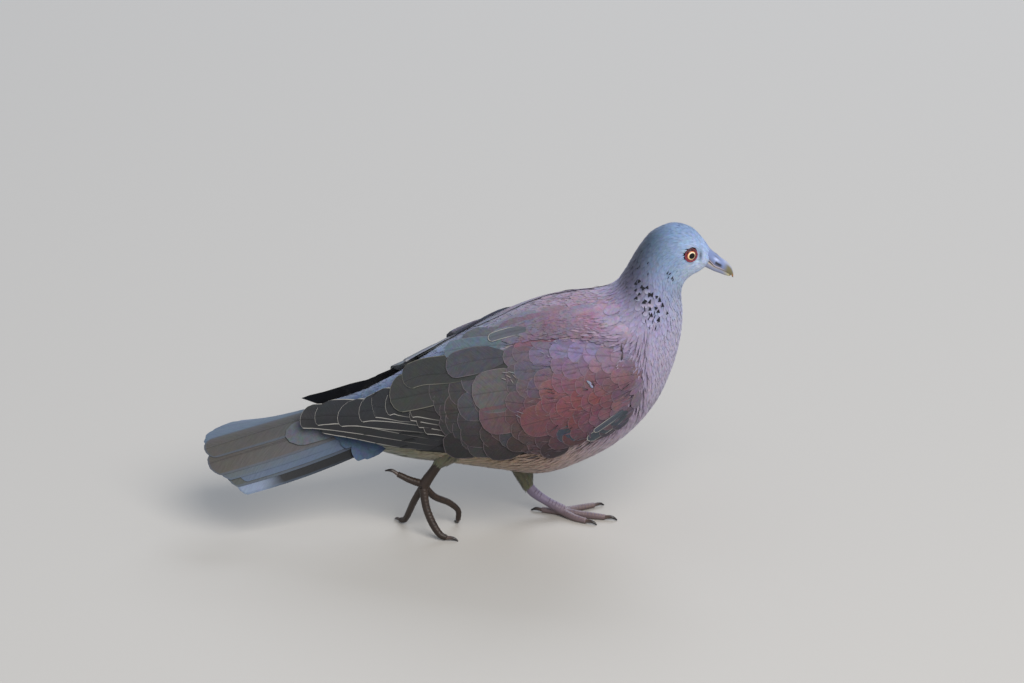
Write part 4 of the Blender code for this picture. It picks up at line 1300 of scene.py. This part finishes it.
# Small marks on a wing: place, degrees that they turn down from the lie of the feathers,
# length, half width and colour. Dark slivers of painted shade in a crease at the front and between
# coverts, pale down in a gap, and worn barbs.
WING_MARKS = (
    (1.93, 0.20, 78, 4.2, 0.40, "#2f252b"), (1.95, 0.27, 96, 3.6, 0.36, "#2f252b"),
    (2.66, 0.46, 40, 2.6, 0.60, "#8088a4"), (2.63, 0.49, 55, 2.4, 0.50, "#8b90a8"),
    (2.60, 0.48, 75, 2.6, 0.26, "#1f181c"), (2.72, 0.50, 10, 2.6, 0.26, "#1f181c"),
    (1.70, 0.52, -25, 4.6, 0.22, "#241b20"), (1.62, 0.60, -30, 4.0, 0.20, "#241b20"),
    (4.20, 0.33, 20, 3.4, 0.30, "#737072"), (4.26, 0.36, 35, 3.0, 0.28, "#7d7a7b"),
    (4.16, 0.37, 50, 3.0, 0.26, "#6d6a6b"), (4.30, 0.32, 5, 3.2, 0.26, "#787576"),
    (4.22, 0.40, 62, 2.6, 0.26, "#747172"), (4.34, 0.37, 25, 2.6, 0.24, "#7a7778"),
    (4.05, 0.62, 25, 3.6, 0.24, "#746d76"), (4.10, 0.65, 40, 3.0, 0.22, "#776f78"),
    (3.35, 0.74, -35, 6.0, 0.24, "#1d191b"), (3.05, 0.78, -30, 5.0, 0.22, "#1d191b"),
    (3.62, 0.22, 30, 2.2, 0.26, "#7c7b8b"), (3.52, 0.25, 60, 1.8, 0.24, "#7c7b8b"),
    (3.45, 0.47, 15, 4.4, 0.20, "#3a2a2f"), (3.40, 0.50, 22, 4.2, 0.20, "#3a2a2f"),
    (3.42, 0.53, 10, 4.0, 0.20, "#3a2a2f"),
)


def marks_bed(side, seed):
    """The small marks of one wing."""
    surface, out = wing_surface(side), -side
    a, b, turn, length, half_width = np.array([mark[:5] for mark in WING_MARKS]).T
    path = shaft_lines(surface, out, 1, a, b, side * np.radians(turn), length, nodes=4)
    bed = lay(surface, out, path, half_width, (2.9, 3.0), 0.02, *TUFT)
    colours = np.array([linear(mark[5]) for mark in WING_MARKS])[:, None, None, :]
    return colour_bed(bed, colours, seed, root_down_and_shade=1.0)


def make_wing(word, side):
    """One folded wing: the bed, the quills and the coverts. On the left the back's coat
    covers the feathers at the wing's upper edge, so they are left out."""
    surface, out = wing_surface(side), -side
    odd, edged = (zip(*(spec for name, spec in table.items()
                        if side < 0 or not name.endswith(("scapular", "tertial_1"))))
                  for table in (ODD_COVERTS, EDGED_FEATHERS))
    rings, half_sides = 70, 36
    along, across = np.meshgrid(np.linspace(*BED_LENGTH, rings),
                                np.linspace(*BED_WIDTH, half_sides), indexing="ij")
    outer = lifted(surface, out, along, across,
                   tucked(along, across, 0.1 - 0.8 * np.clip(along - 4.2, 0, 1)))
    inner = lifted(surface, out, along, across, -BED_DEPTH)
    # The wing's bed is darkened as painted shade under the coverts.
    colours = SKIN_PAINTED_SHADE * wing_colour(along, across)
    add_piece(f"wing_bed_{word}", np.concatenate([outer, inner[:, ::-1]], axis=1),
              ring_faces(rings, 2 * half_sides), dove_skin(),
              np.concatenate([colours, colours[:, ::-1]], axis=1))
    quills = [f"wing_{word}_{part}" for part in ("secondaries", "primaries", "tip")]
    add_coat(f"coat_quills_{word}", quill_beds(side, ["primary", "secondary"]), flight_plumage,
             wing_unwrap, quills)
    add_coat(f"coat_tertials_{word}", quill_beds(side, ["tertial"]), tertial_plumage,
             wing_unwrap)
    seed = 200 if side < 0 else 300
    beds = [
        covert_bed(side, (3.2, 4.9), (0.0, 1.0), 7.0, 18.0, 7.4, (1.5, 2.2), seed),
        covert_bed(side, (1.6, 3.9), (0.0, 1.0), 5.0, 12.5, 5.2, (1.9, 2.6), seed + 10),
        covert_bed(side, (0.3, 2.4), (0.0, 1.0), 3.6, 8.5, 3.4, (2.0, 2.8), seed + 20),
        drawn_covert_bed(side, [((a - 1.2, b), (a - 0.5, b), (a, b)) for a, b, _ in GREAT_COVERTS],
                         [6.4] * 7, [high for _, _, high in GREAT_COVERTS], ["#333231"] * 7,
                         seed + 30, ease=tucked),
        drawn_covert_bed(side, *odd, seed + 40),
        barb_bed(side, (1.4, 3.9), (0.0, 1.0), 3.4, 5.0, (2.3, 2.6), seed + 60),
        marks_bed(side, seed + 70),
    ]
    add_coat(f"coat_coverts_{word}", beds, covert_plumage, wing_unwrap,
             [f"wing_{word}_coverts"])
    alula = drawn_covert_bed(side, *edged, seed + 50)
    give_cells(alula)
    add_coat(f"coat_alula_{word}", [alula], flight_plumage, wing_unwrap)


make_wing("right", -1)
make_wing("left", 1)


# ================================================================ tail
# Twelve long tail feathers, fanned a little and overlapping from the middle pair outward,
# and the shorter coverts that lie over their bases.

TAIL_ROOT = np.array([-40.0, -0.3, 69.2])
TAIL_LENGTH = 88.0
TAIL_SLOPE = math.radians(17.2)
TAIL_YAW = math.radians(2.0)
TAIL_ROLL = math.radians(-12.0)
TAIL_ROUND = 0.12           # how much shorter it is at its sides, of its length
TAIL_HALF = (10.5, 28.5)    # half its width at the root and at the tip
TAIL_HANG = (23.0, 12.5)    # how far its sides hang at the root and at the tip
LEFT_HANG = (0.08, 0.60)    # the left side's hang, of the right side's
TAIL_SPREAD = 0.8 + 0.2 * QUILL_ROWS     # a tail feather widens a little towards its tip
# Each feather's place across the tail (left is positive), half width, height under the top
# face, the share of the tail that it reaches, and its colours near the base and at the tip.
RECTRICES = (
    (0.64, 7.2, -1.50, 0.90, "#262b36", "#69768a"), (-0.79, 9.6, -1.40, 0.90, "#0b0e12", "#6c788c"),
    (0.56, 7.2, -1.25, 0.94, "#3b4552", "#566475"), (-0.70, 8.0, -1.12, 0.93, "#353f4e", "#444745"),
    (0.46, 7.0, -1.00, 0.96, "#4a5a6b", "#536171"), (-0.64, 8.4, -0.86, 0.87, "#465469", "#495669"),
    (0.34, 7.0, -0.75, 0.98, "#435260", "#4e5c6d"), (-0.56, 8.2, -0.60, 0.96, "#46556a", "#4b5157"),
    (0.20, 6.9, -0.50, 1.0, "#44535f", "#505f6e"), (-0.47, 7.6, -0.34, 1.0, "#454549", "#494642"),
    (0.04, 6.8, -0.25, 1.0, "#45545f", "#515f6f"), (-0.165, 6.7, -0.08, 1.0, "#45474a", "#4c4945"),
)


def tail_point(along, across):
    """The tail's upper face: it widens and flattens from root to tip, its sides hang down
    with a power of the distance from the middle, and it is turned and rolled a little."""
    reach = TAIL_LENGTH * along * (1 - TAIL_ROUND * across**2)
    wide = (TAIL_HALF[0] + (TAIL_HALF[1] - TAIL_HALF[0]) * along) * across
    hang = TAIL_HANG[0] + (TAIL_HANG[1] - TAIL_HANG[0]) * along + 4.5 * np.sin(math.pi * along)
    hang = hang * np.where(across > 0, np.interp(along, (0, 1), LEFT_HANG), 1)
    low = -hang * np.abs(across) ** 1.6
    roll = TAIL_ROLL * along
    y = wide * np.cos(roll) + low * np.sin(roll) - reach * math.sin(TAIL_YAW)
    z = low * np.cos(roll) - wide * np.sin(roll) - reach * math.sin(TAIL_SLOPE)
    return np.stack([-reach * math.cos(TAIL_SLOPE), y, z], axis=-1) + TAIL_ROOT


def tail_unwrap(along, across):
    """Where a point of the tail lies on its unwrap."""
    return np.stack([0.5 + 0.45 * across, 0.1 + 0.8 * np.clip(along, 0, 1)], axis=-1)


def rectrix_bed():
    """The twelve long feathers, whose ends are a little worn. The outer pair, first in the
    table, has a pale end beyond a sharp line, and the others turn paler little by little."""
    rng = np.random.default_rng(71)
    count = len(RECTRICES)
    path = drawn([((-0.04, c), (0.3 * end, c), (0.7 * end, c), (end, c))
                  for c, _, _, end, _, _ in RECTRICES])
    reach = arc_tip(QUILL_COLUMNS, 6.5, 6.5, np.full(count, TAIL_LENGTH))
    reach = reach * (1 - 0.005 * rng.random(reach.shape))
    half_width, high = np.array([row[1:3] for row in RECTRICES]).T
    bed = lay(tail_point, -1, path, half_width, (high - 0.3, high), 0.06, QUILL_ROWS,
              QUILL_COLUMNS, TAIL_SPREAD, reach)
    give_cells(bed)
    base, tip = (np.array([linear(row[column]) for row in RECTRICES])[:, None, None, :]
                 for column in (4, 5))
    outer = (np.arange(count) < 2)[:, None, None]
    turn = np.where(outer, np.clip((bed["share"] - 0.70) / 0.08, 0, 1),
                    np.clip((bed["share"] - 0.2) / 0.7, 0, 1))[..., None]
    return colour_bed(bed, base * (1 - turn) + tip * turn, 72, root_down_and_shade=1.0, vary=0.03,
                      warm=0.01)


def tail_covert_bed(span, rows, spacing, length, half_width, lift, code, seed):
    """Rounded coverts over the bases of the tail feathers."""
    a, b, count, rng = scatter(tail_point, span, rows, spacing, seed)
    size = length * (1 - 0.4 * np.clip((np.abs(b) - 0.5) / 0.4, 0, 1))
    path = shaft_lines(tail_point, -1, 1, a, b, 0.06 * rng.normal(size=count),
                       size * rng.uniform(0.85, 1.1, count))
    high = lift[1] + 0.05 * rng.normal(size=count)
    bed = lay(tail_point, -1, path, half_width, (lift[0], high), 0.08, *VANE,
              round_tip(VANE_COLUMNS, half_width * 0.9 / length))
    return colour_bed(bed, linear(code), seed + 2, root_down_and_shade=0.95, vary=0.04, warm=0.02)


tail_plumage = plumage("tail_plumage", 1.3, 1.0, 0.10, shaft=0.8, shaft_shade=0.8, rim=1.2,
                       rim_colour="#46566a", rim_strength=0.35, bump=0.45, rough=0.55, sheen=0.08,
                       blotch=0.3, blotch_size=5.0)
add_coat("coat_tail", [rectrix_bed()], tail_plumage, tail_unwrap, ["tail"])
long_covert = lay(tail_point, -1, drawn([((0.1, -0.40), (0.3, -0.42), (0.55, -0.42))], 6), 6.4,
                  (-0.2, 0.4), 0.08, *VANE, round_tip(VANE_COLUMNS, 0.22))
colour_bed(long_covert, linear("#4e5560"), 77)
tail_coverts = [
    tail_covert_bed((-0.10, 0.06), (-1.02, 0.9), 3.2, 23.0, 4.0, (-0.3, 0.1), "#3f5066", 73),
    tail_covert_bed((-0.18, 0.0), (-0.98, 0.9), 3.0, 16.0, 3.4, (-0.1, 0.3), "#415369", 83),
    long_covert,
]
add_coat("coat_tail_coverts", tail_coverts, contour_plumage, tail_unwrap)


# ================================================================ bill
# A horn sheath over bone in two halves: slate lilac with a swollen lid over each slit
# nostril, a pinkish cutting edge, and an olive tip whose orange hook ends in a dark point.

# (x of the ridge, z of the ridge, x of the keel, z of the keel, half width)
UPPER_BILL = (
    (115.9, 137.4, 114.3, 133.5, 3.9), (117.4, 136.0, 115.6, 132.0, 3.7),
    (119.4, 134.6, 118.2, 130.6, 3.1), (121.6, 133.1, 120.6, 129.2, 2.5),
    (123.5, 130.8, 122.4, 128.0, 1.8), (124.5, 127.8, 123.4, 127.0, 1.0),
    (124.5, 125.6, 124.1, 125.8, 0.4),
)
LOWER_BILL = (
    (114.1, 133.8, 113.3, 130.2, 3.4), (115.4, 132.6, 115.4, 129.1, 3.1),
    (118.0, 131.2, 118.0, 128.0, 2.5), (120.4, 129.7, 120.6, 126.9, 1.9),
    (122.2, 128.4, 122.2, 126.4, 1.2), (123.3, 127.2, 123.1, 126.3, 0.5),
)


def horn(name, roughness):
    """Keratin worn smooth: a soft gloss over the piece's own tint, with a faint grain of
    about 1 mm."""
    return grained(name, roughness, 900.0, 0.25)


def hill(value, middle, width):
    """A smooth hill of height one: e to the minus square of the distance over the width."""
    return np.exp(-(((value - middle) / width) ** 2))


def ramp(value, start, width):
    """From 0 at the start to 1 a width further on, in a straight line."""
    return np.clip((value - start) / width, 0, 1)


def painted(colour, layers):
    """A base colour with layers over it, each another colour and its share from place to
    place."""
    colour = linear(colour)
    for code, share in layers:
        colour = blend(colour, code, share)
    return colour


bill_horn = horn("bill_horn", 0.32)


def make_bill(name, stations):
    """One half of the bill, lofted through ovals that are squared off where the two halves
    meet, with its relief and its colours. The sheath starts inside the head."""
    meeting = -1 if name == "upper_bill" else 1
    rows = np.array(stations)
    last = len(rows) - 1
    rings, sides = 72, 48
    s, angle = round_grid(-1.9, last, rings, sides)

    def surface(s, angle):
        here = smooth(rows, s)
        cos, sin = np.cos(angle), np.sin(angle)
        power = np.where(cos * meeting > 0, 0.45, 0.9)
        cos, sin = (np.sign(part) * np.abs(part) ** power for part in (cos, sin))
        x = (here[..., 0] + here[..., 2]) / 2 + (here[..., 0] - here[..., 2]) / 2 * cos
        z = (here[..., 1] + here[..., 3]) / 2 + (here[..., 1] - here[..., 3]) / 2 * cos
        return np.stack([x, here[..., 4] * sin, z], axis=-1)

    turn, share = from_back(angle), s / last
    if name == "upper_bill":
        slit = hill(turn, 88 + 4 * (s - 1), 12) * ramp(s, 0.55, 0.3) * ramp(-s, -2.3, 0.4)
        lift = (0.55 * hill(turn, 58, 26) * hill(s, 0.75, 0.75) - 0.5 * slit
                + 0.15 * hill(turn, 128, 14) * np.clip(1 - share, 0, 1))
        points = lifted(surface, 1.0, s, angle, lift)
        colours = painted("#7280a8", (
            ("#aab6dc", hill(turn, 58, 24) * hill(s, 0.75, 0.7)),
            # A painted highlight along the ridge, about halfway to the tip.
            ("#b3b6cc", hill(turn, 20, 30) * hill(share, 0.6, 0.18)),
            ("#c4b4b8", hill(turn, 119, 11) * np.clip(1.2 - share, 0, 1)),
            ("#4a4556", 0.7 * hill(turn, 103, 5) * np.clip(1 - share, 0, 1)),
            ("#6f694c", ramp(share, 0.40, 0.16) * np.clip(turn / 60, 0.3, 1)),
            ("#9a6534", ramp(share, 0.80, 0.1)),
            ("#2a1d16", ramp(share, 0.93, 0.05)),
            ("#1f1b23", slit),
            ("#363243", 0.9 * hill(turn, 34, 10) * hill(s, 0.6, 0.8)),
            ("#241d20", ramp(turn, 134, 8)),
        ))
    else:
        points = surface(s, angle)
        colours = painted("#7a8099", (
            ("#b5a894", hill(turn, 62, 14) * np.clip(1.2 - share, 0, 1)),
            ("#a9a27c", ramp(share, 0.50, 0.3)),
            ("#6b4a2c", ramp(share, 0.86, 0.1)),
            ("#241d20", ramp(-turn, -50, 8)),
        ))
    add_piece(f"horn_{name}", points, ring_faces(rings, sides), bill_horn, colours,
              [name])


make_bill("upper_bill", UPPER_BILL)
make_bill("lower_bill", LOWER_BILL)


# ================================================================ eyes
# Wet glassy balls: a black pupil, a cream to orange iris and a dark edge, each inside a
# ring of bare crinkled crimson skin that lies on the ball.

EYE_RADIUS = 4.1
EYE_MOVE = (-1.1, 0.5, 0.0)     # from the ring's middle to the ball's, outward is positive
LOOK = (24.0, -4.0)     # degrees each eye looks forward and up
LID_TURN = math.radians(19)     # how far the ring faces forward
PUPIL, IRIS = 1.50, 2.30
LID_HALF = (2.60, 2.85)
LID_THICK = 0.54
LID_RADIUS = 4.40       # the ring lies this far from the ball's middle


def wet_eye():
    """The eyeball: coloured by its own tint under a clear wet coat."""
    material, tree, shader = start_material("wet_eye", roughness=0.6, coat_weight=0.45,
                                            coat_roughness=0.03)
    shader.inputs["Specular IOR Level"].default_value = 0.1
    tint = add_node(tree, "Attribute", attribute_name="tint")
    tree.links.new(tint.outputs["Color"], shader.inputs["Base Color"])
    return material


def lid_skin():
    """Bare skin round the eye: moist, crimson, with folds about 0.6 mm apart."""
    return grained("lid_skin", 0.45, 1600.0, 0.6, 0.0003)


eye_material, lid_material = wet_eye(), lid_skin()


def make_eye(word, side):
    """One eye and the ring of skin round it."""
    forward, up = (math.radians(value) for value in LOOK)
    look = np.array([math.sin(forward), side * math.cos(forward) * math.cos(up), math.sin(up)])
    centre = (EYE_PLACE + EYE_MOVE) * (1, side, 1)
    right = unit(np.cross(look, (0, 0, 1.0)))
    above = np.cross(right, look)
    rings, sides = 56, 64
    tilt, turn = round_grid(0.004, math.pi - 0.02, rings, sides)
    away = EYE_RADIUS * np.sin(tilt)
    ball = (look * np.cos(tilt)[..., None]
            + (right * np.cos(turn)[..., None] + above * np.sin(turn)[..., None])
            * np.sin(tilt)[..., None])
    colours = painted("#ead2a0", (
        ("#c4502a", (away - PUPIL - 0.25) / (IRIS - PUPIL - 0.35)),
        ("#f3e6cc", 0.7 * hill(turn, math.radians(70), 1.1) * (away < IRIS - 0.35)),
        ("#24100e", (away - IRIS + 0.12) / 0.15),
        ("#050506", (PUPIL - away) / 0.08 + 0.5),
        ("#2c1714", 1.0 * (np.cos(tilt) <= 0)),
    ))
    add_piece(f"ball_eye_{word}", centre + EYE_RADIUS * ball, ring_faces(rings, sides),
              eye_material, colours, [f"eye_{word}"])

    rings, sides = 96, 16
    round_eye, section = round_grid(0, 2 * math.pi * (1 - 1 / rings), rings, sides)
    crinkle = 1 + 0.05 * np.sin(17 * round_eye) + 0.04 * np.sin(29 * round_eye + 1)
    x = LID_HALF[0] * np.cos(round_eye)
    z = LID_HALF[1] * np.sin(round_eye)
    cos, sin = math.cos(LID_TURN), math.sin(LID_TURN)
    along = np.stack([x * cos, -side * x * sin, z], axis=-1)
    depth = np.sqrt(LID_RADIUS**2 - (x**2 + z**2))[..., None]
    middle = along + depth * np.array([sin, side * cos, 0])
    outward = unit(middle)
    beside = unit(along)
    thick = LID_THICK * crinkle
    ring = centre + middle + (beside * (thick * np.cos(section))[..., None]
                              + outward * (0.75 * thick * np.sin(section))[..., None])
    grid, column = np.meshgrid(np.arange(rings), np.arange(sides), indexing="ij")
    a, b = grid * sides + column, grid * sides + (column + 1) % sides
    c, d = (grid + 1) % rings * sides + column, (grid + 1) % rings * sides + (column + 1) % sides
    faces = np.stack([a, c, d, b], axis=-1).reshape(-1, 4).tolist()
    # The ring is darker at its top, as painted shade in the brow's crease, and along its inner edge, as
    # painted shade where it meets the ball.
    colours = painted("#7c2838", (
        ("#35141d", 0.9 * hill(round_eye, math.radians(100), 1.0) + hill(section, 3.1, 0.9)),
        ("#b0503f", 0.3 * np.clip(np.sin(11 * round_eye + 2), 0, 1) * hill(section, 2.2, 0.6)),
    ))
    add_piece(f"eye_ring_{word}", ring, faces, lid_material, colours)


make_eye("left", 1)
make_eye("right", -1)


# ================================================================ legs and feet
# Bare legs in one skin each: wide overlapping scales down the front and over the toes,
# small round ones elsewhere. Horn claws, slender and dark.

LEGS = {
    "left": {
        "tarsus": ((28.2, 13.0, 15.0, 2.3), (31.6, 12.4, 11.0, 2.4), (37.0, 11.4, 7.4, 2.1),
                   (42.4, 10.5, 4.4, 2.3), (45.2, 10.0, 2.9, 2.6)),
        "toe_1": ((44.4, 10.6, 1.9, 1.7), (40.2, 12.7, 1.4, 1.5), (35.4, 14.4, 1.3, 1.3)),
        "toe_2": ((45.4, 9.0, 2.2, 1.7), (50.6, 4.2, 1.5, 1.6), (56.2, 0.6, 1.3, 1.3)),
        "toe_3": ((45.6, 9.9, 2.4, 1.9), (52.4, 8.2, 1.7, 1.7), (58.8, 6.6, 1.5, 1.6),
                  (65.2, 5.2, 1.3, 1.3)),
        "toe_4": ((45.4, 11.0, 2.2, 1.7), (50.4, 14.8, 1.5, 1.6), (55.6, 17.6, 1.4, 1.4),
                  (60.2, 20.0, 1.3, 1.2)),
        "claw_1": ((36.0, 14.2, 1.3, 0.9), (32.6, 15.4, 1.5, 0.8), (30.2, 16.2, 0.4, 0.3)),
        "claw_2": ((55.6, 1.0, 1.3, 0.9), (59.0, -0.7, 1.6, 0.8), (61.2, -1.8, 0.4, 0.3)),
        "claw_3": ((64.6, 5.3, 1.3, 1.0), (68.4, 4.5, 1.7, 0.8), (70.9, 4.0, 0.4, 0.3)),
        "claw_4": ((59.6, 19.7, 1.3, 0.9), (62.8, 21.3, 1.5, 0.7), (64.8, 22.4, 0.4, 0.3)),
    },
    "right": {
        "tarsus": ((-12.4, -13.1, 38.0, 2.3), (-16.0, -12.6, 32.2, 2.3), (-19.2, -12.2, 27.2, 2.6),
                   (-20.6, -12.1, 24.8, 2.7)),
        "toe_1": ((-20.6, -12.0, 25.6, 1.9), (-26.6, -11.0, 27.2, 1.6), (-32.6, -10.4, 30.0, 1.3)),
        "toe_2": ((-20.2, -11.0, 24.2, 1.7), (-15.6, -7.4, 17.4, 1.6), (-8.6, -3.2, 12.4, 1.5),
                  (-4.4, -1.2, 7.6, 1.3), (-4.4, -0.4, 2.4, 1.2)),
        "toe_3": ((-20.6, -12.8, 24.0, 2.0), (-19.4, -15.0, 15.6, 1.8), (-16.4, -17.2, 8.0, 1.8),
                  (-12.8, -18.8, 2.8, 1.6), (-9.6, -19.6, 1.3, 1.3)),
        "toe_4": ((-21.0, -11.4, 24.0, 1.7), (-24.8, -8.0, 15.8, 1.6), (-27.4, -4.0, 8.2, 1.5),
                  (-29.4, -0.6, 2.8, 1.4), (-31.6, 1.8, 1.3, 1.2)),
        "claw_1": ((-32.0, -10.5, 29.7, 0.9), (-35.4, -10.1, 31.8, 0.8), (-38.6, -9.8, 31.6, 0.3)),
        "claw_2": ((-4.4, -0.5, 2.8, 0.8), (-4.6, 1.2, 0.9, 0.7), (-6.0, 3.4, 0.4, 0.3)),
        "claw_3": ((-10.4, -19.4, 1.4, 1.0), (-6.6, -20.3, 1.5, 0.8), (-4.2, -21.0, 0.4, 0.3)),
        "claw_4": ((-31.2, 1.4, 1.3, 0.8), (-33.0, 4.0, 1.3, 0.7), (-34.2, 6.0, 0.4, 0.3)),
    },
}
# The right leg and its toes are dark brown: partly wet mud, and partly painted shade under the tail and
# the wing.
LEG_COLOURS = {"left": ("#7f7389", "#564a5c"), "right": ("#2d1f16", "#160d09")}
TOE_COLOUR = {"left": "#6b594f", "right": "#2a1e16"}     # the toes are browner, up to TOE_TOP
TOE_TOP = 8.0
CLAW_COLOUR = ("#5a4a44", "#1d1817")
SCALE_STEP = 1.7        # from one wide scale to the next
SCALE_RISE = 0.16
GROOVE = 0.86           # the share of each scale after which it falls into a dark groove
VOXEL = 0.34            # the size of the cubes that fuse a leg into one skin


def scaly_skin():
    """Leg skin: leathery, satin, with round scales under 1 mm wide between the wide ones."""
    material, tree, shader = start_material("scaly_skin", roughness=0.5)
    tint = add_node(tree, "Attribute", attribute_name="tint")
    place = add_node(tree, "TexCoord")
    cells = add_node(tree, "TexVoronoi", {"Vector": place.outputs["Object"], "Scale": 1300.0})
    bump = add_node(tree, "Bump", {"Height": cells.outputs["Distance"], "Strength": 0.5,
                                   "Distance": 0.0002})
    bump.invert = True
    tree.links.new(tint.outputs["Color"], shader.inputs["Base Color"])
    tree.links.new(bump.outputs["Normal"], shader.inputs["Normal"])
    return material


leg_material = scaly_skin()
claw_horn = horn("claw_horn", 0.3)


def limb_grid(stations, per_station, sides):
    """A limb's surface points, none of them under the floor, and the station of each."""
    last = len(stations) - 1
    s, angle = round_grid(0, last, per_station * last + 1, sides)
    points = limb_point(stations)(s, angle)
    points[..., 2] = np.maximum(points[..., 2], 0.02)
    return s, points


def nearest_on_limbs(points, limbs):
    """For each point: how far along its limb the nearest centre line lies, in mm, and the
    cosine of its angle from the limb's front."""
    best = np.full(len(points), np.inf)
    along, rise = np.zeros(len(points)), np.zeros(len(points))
    for stations in limbs:
        line = smooth(stations, np.linspace(0, len(stations) - 1, 60))
        run = np.concatenate([[0], np.cumsum(np.linalg.norm(np.diff(line[:, :3], axis=0), axis=1))])
        gap = points[:, None, :] - line[None, :, :3]
        far = np.linalg.norm(gap, axis=-1) / line[None, :, 3]
        pick = far.argmin(1)
        near = far[np.arange(len(points)), pick]
        ahead = unit(np.gradient(line[:, :3], axis=0))[pick]
        front = unit(np.cross(np.cross(ahead, (0.55, 0, 0.85)), ahead))
        offset = unit(gap[np.arange(len(points)), pick])
        closer = near < best
        best = np.where(closer, near, best)
        along = np.where(closer, run[pick], along)
        rise = np.where(closer, (offset * front).sum(-1), rise)
    return along, rise


def make_leg(word):
    """One bare leg: shank and toes fused into a skin, scales raised on it, and four claws.
    Each scale rises steeply from the one before, and ends in a short fall and a groove."""
    parts = {key: value for key, value in LEGS[word].items() if not key.startswith("claw")}
    light, dark = LEG_COLOURS[word]
    pieces = []
    for stations in parts.values():
        s, points = limb_grid(stations, 8, 20)
        pieces.append(add_piece("limb", points, ring_faces(*s.shape), leg_material,
                                np.broadcast_to(linear(light), points.shape)))
    leg = pieces[0]
    for other in pieces[1:]:
        unite(leg, other)
    fuse = leg.modifiers.new("fuse", "REMESH")
    fuse.mode = "VOXEL"
    fuse.voxel_size = VOXEL * MM
    mesh = finished_mesh(leg)
    bpy.data.objects.remove(leg)
    points = vertex_values(mesh, "co") / MM - SHIFT
    along, rise = nearest_on_limbs(points, parts.values())
    wide = ramp(rise, 0.1, 0.3)
    phase = np.mod(along / SCALE_STEP, 1.0)
    raised = wide * SCALE_RISE * (1 - (1 - phase) ** 4) * np.clip((1 - phase) / 0.12, 0, 1)
    points = points + vertex_values(mesh, "normal") * raised[:, None]
    points[:, 2] = np.maximum(points[:, 2], 0.0)
    groove = np.maximum(wide * (phase > GROOVE), 0.35 * (1 - wide))
    colours = linear(light) * (1 + 0.12 * mottle(points, 4.0, 5)[:, None])
    colours = blend(colours, TOE_COLOUR[word], 0.7 * (TOE_TOP - points[:, 2]) / 5)
    add_piece(f"leg_{word}", points, [tuple(face.vertices) for face in mesh.polygons],
              leg_material, blend(colours, dark, groove),
              [f"{part}_{word}" for part in parts])
    for part in ("claw_1", "claw_2", "claw_3", "claw_4"):
        stations = LEGS[word][part]
        s, points = limb_grid(stations, 12, 18)
        root, tip = CLAW_COLOUR
        add_piece(f"horn_{part}_{word}", points, ring_faces(*s.shape), claw_horn,
                  painted(root, ((tip, 1.6 * s / (len(stations) - 1)),)), [f"{part}_{word}"])


make_leg("left")
make_leg("right")
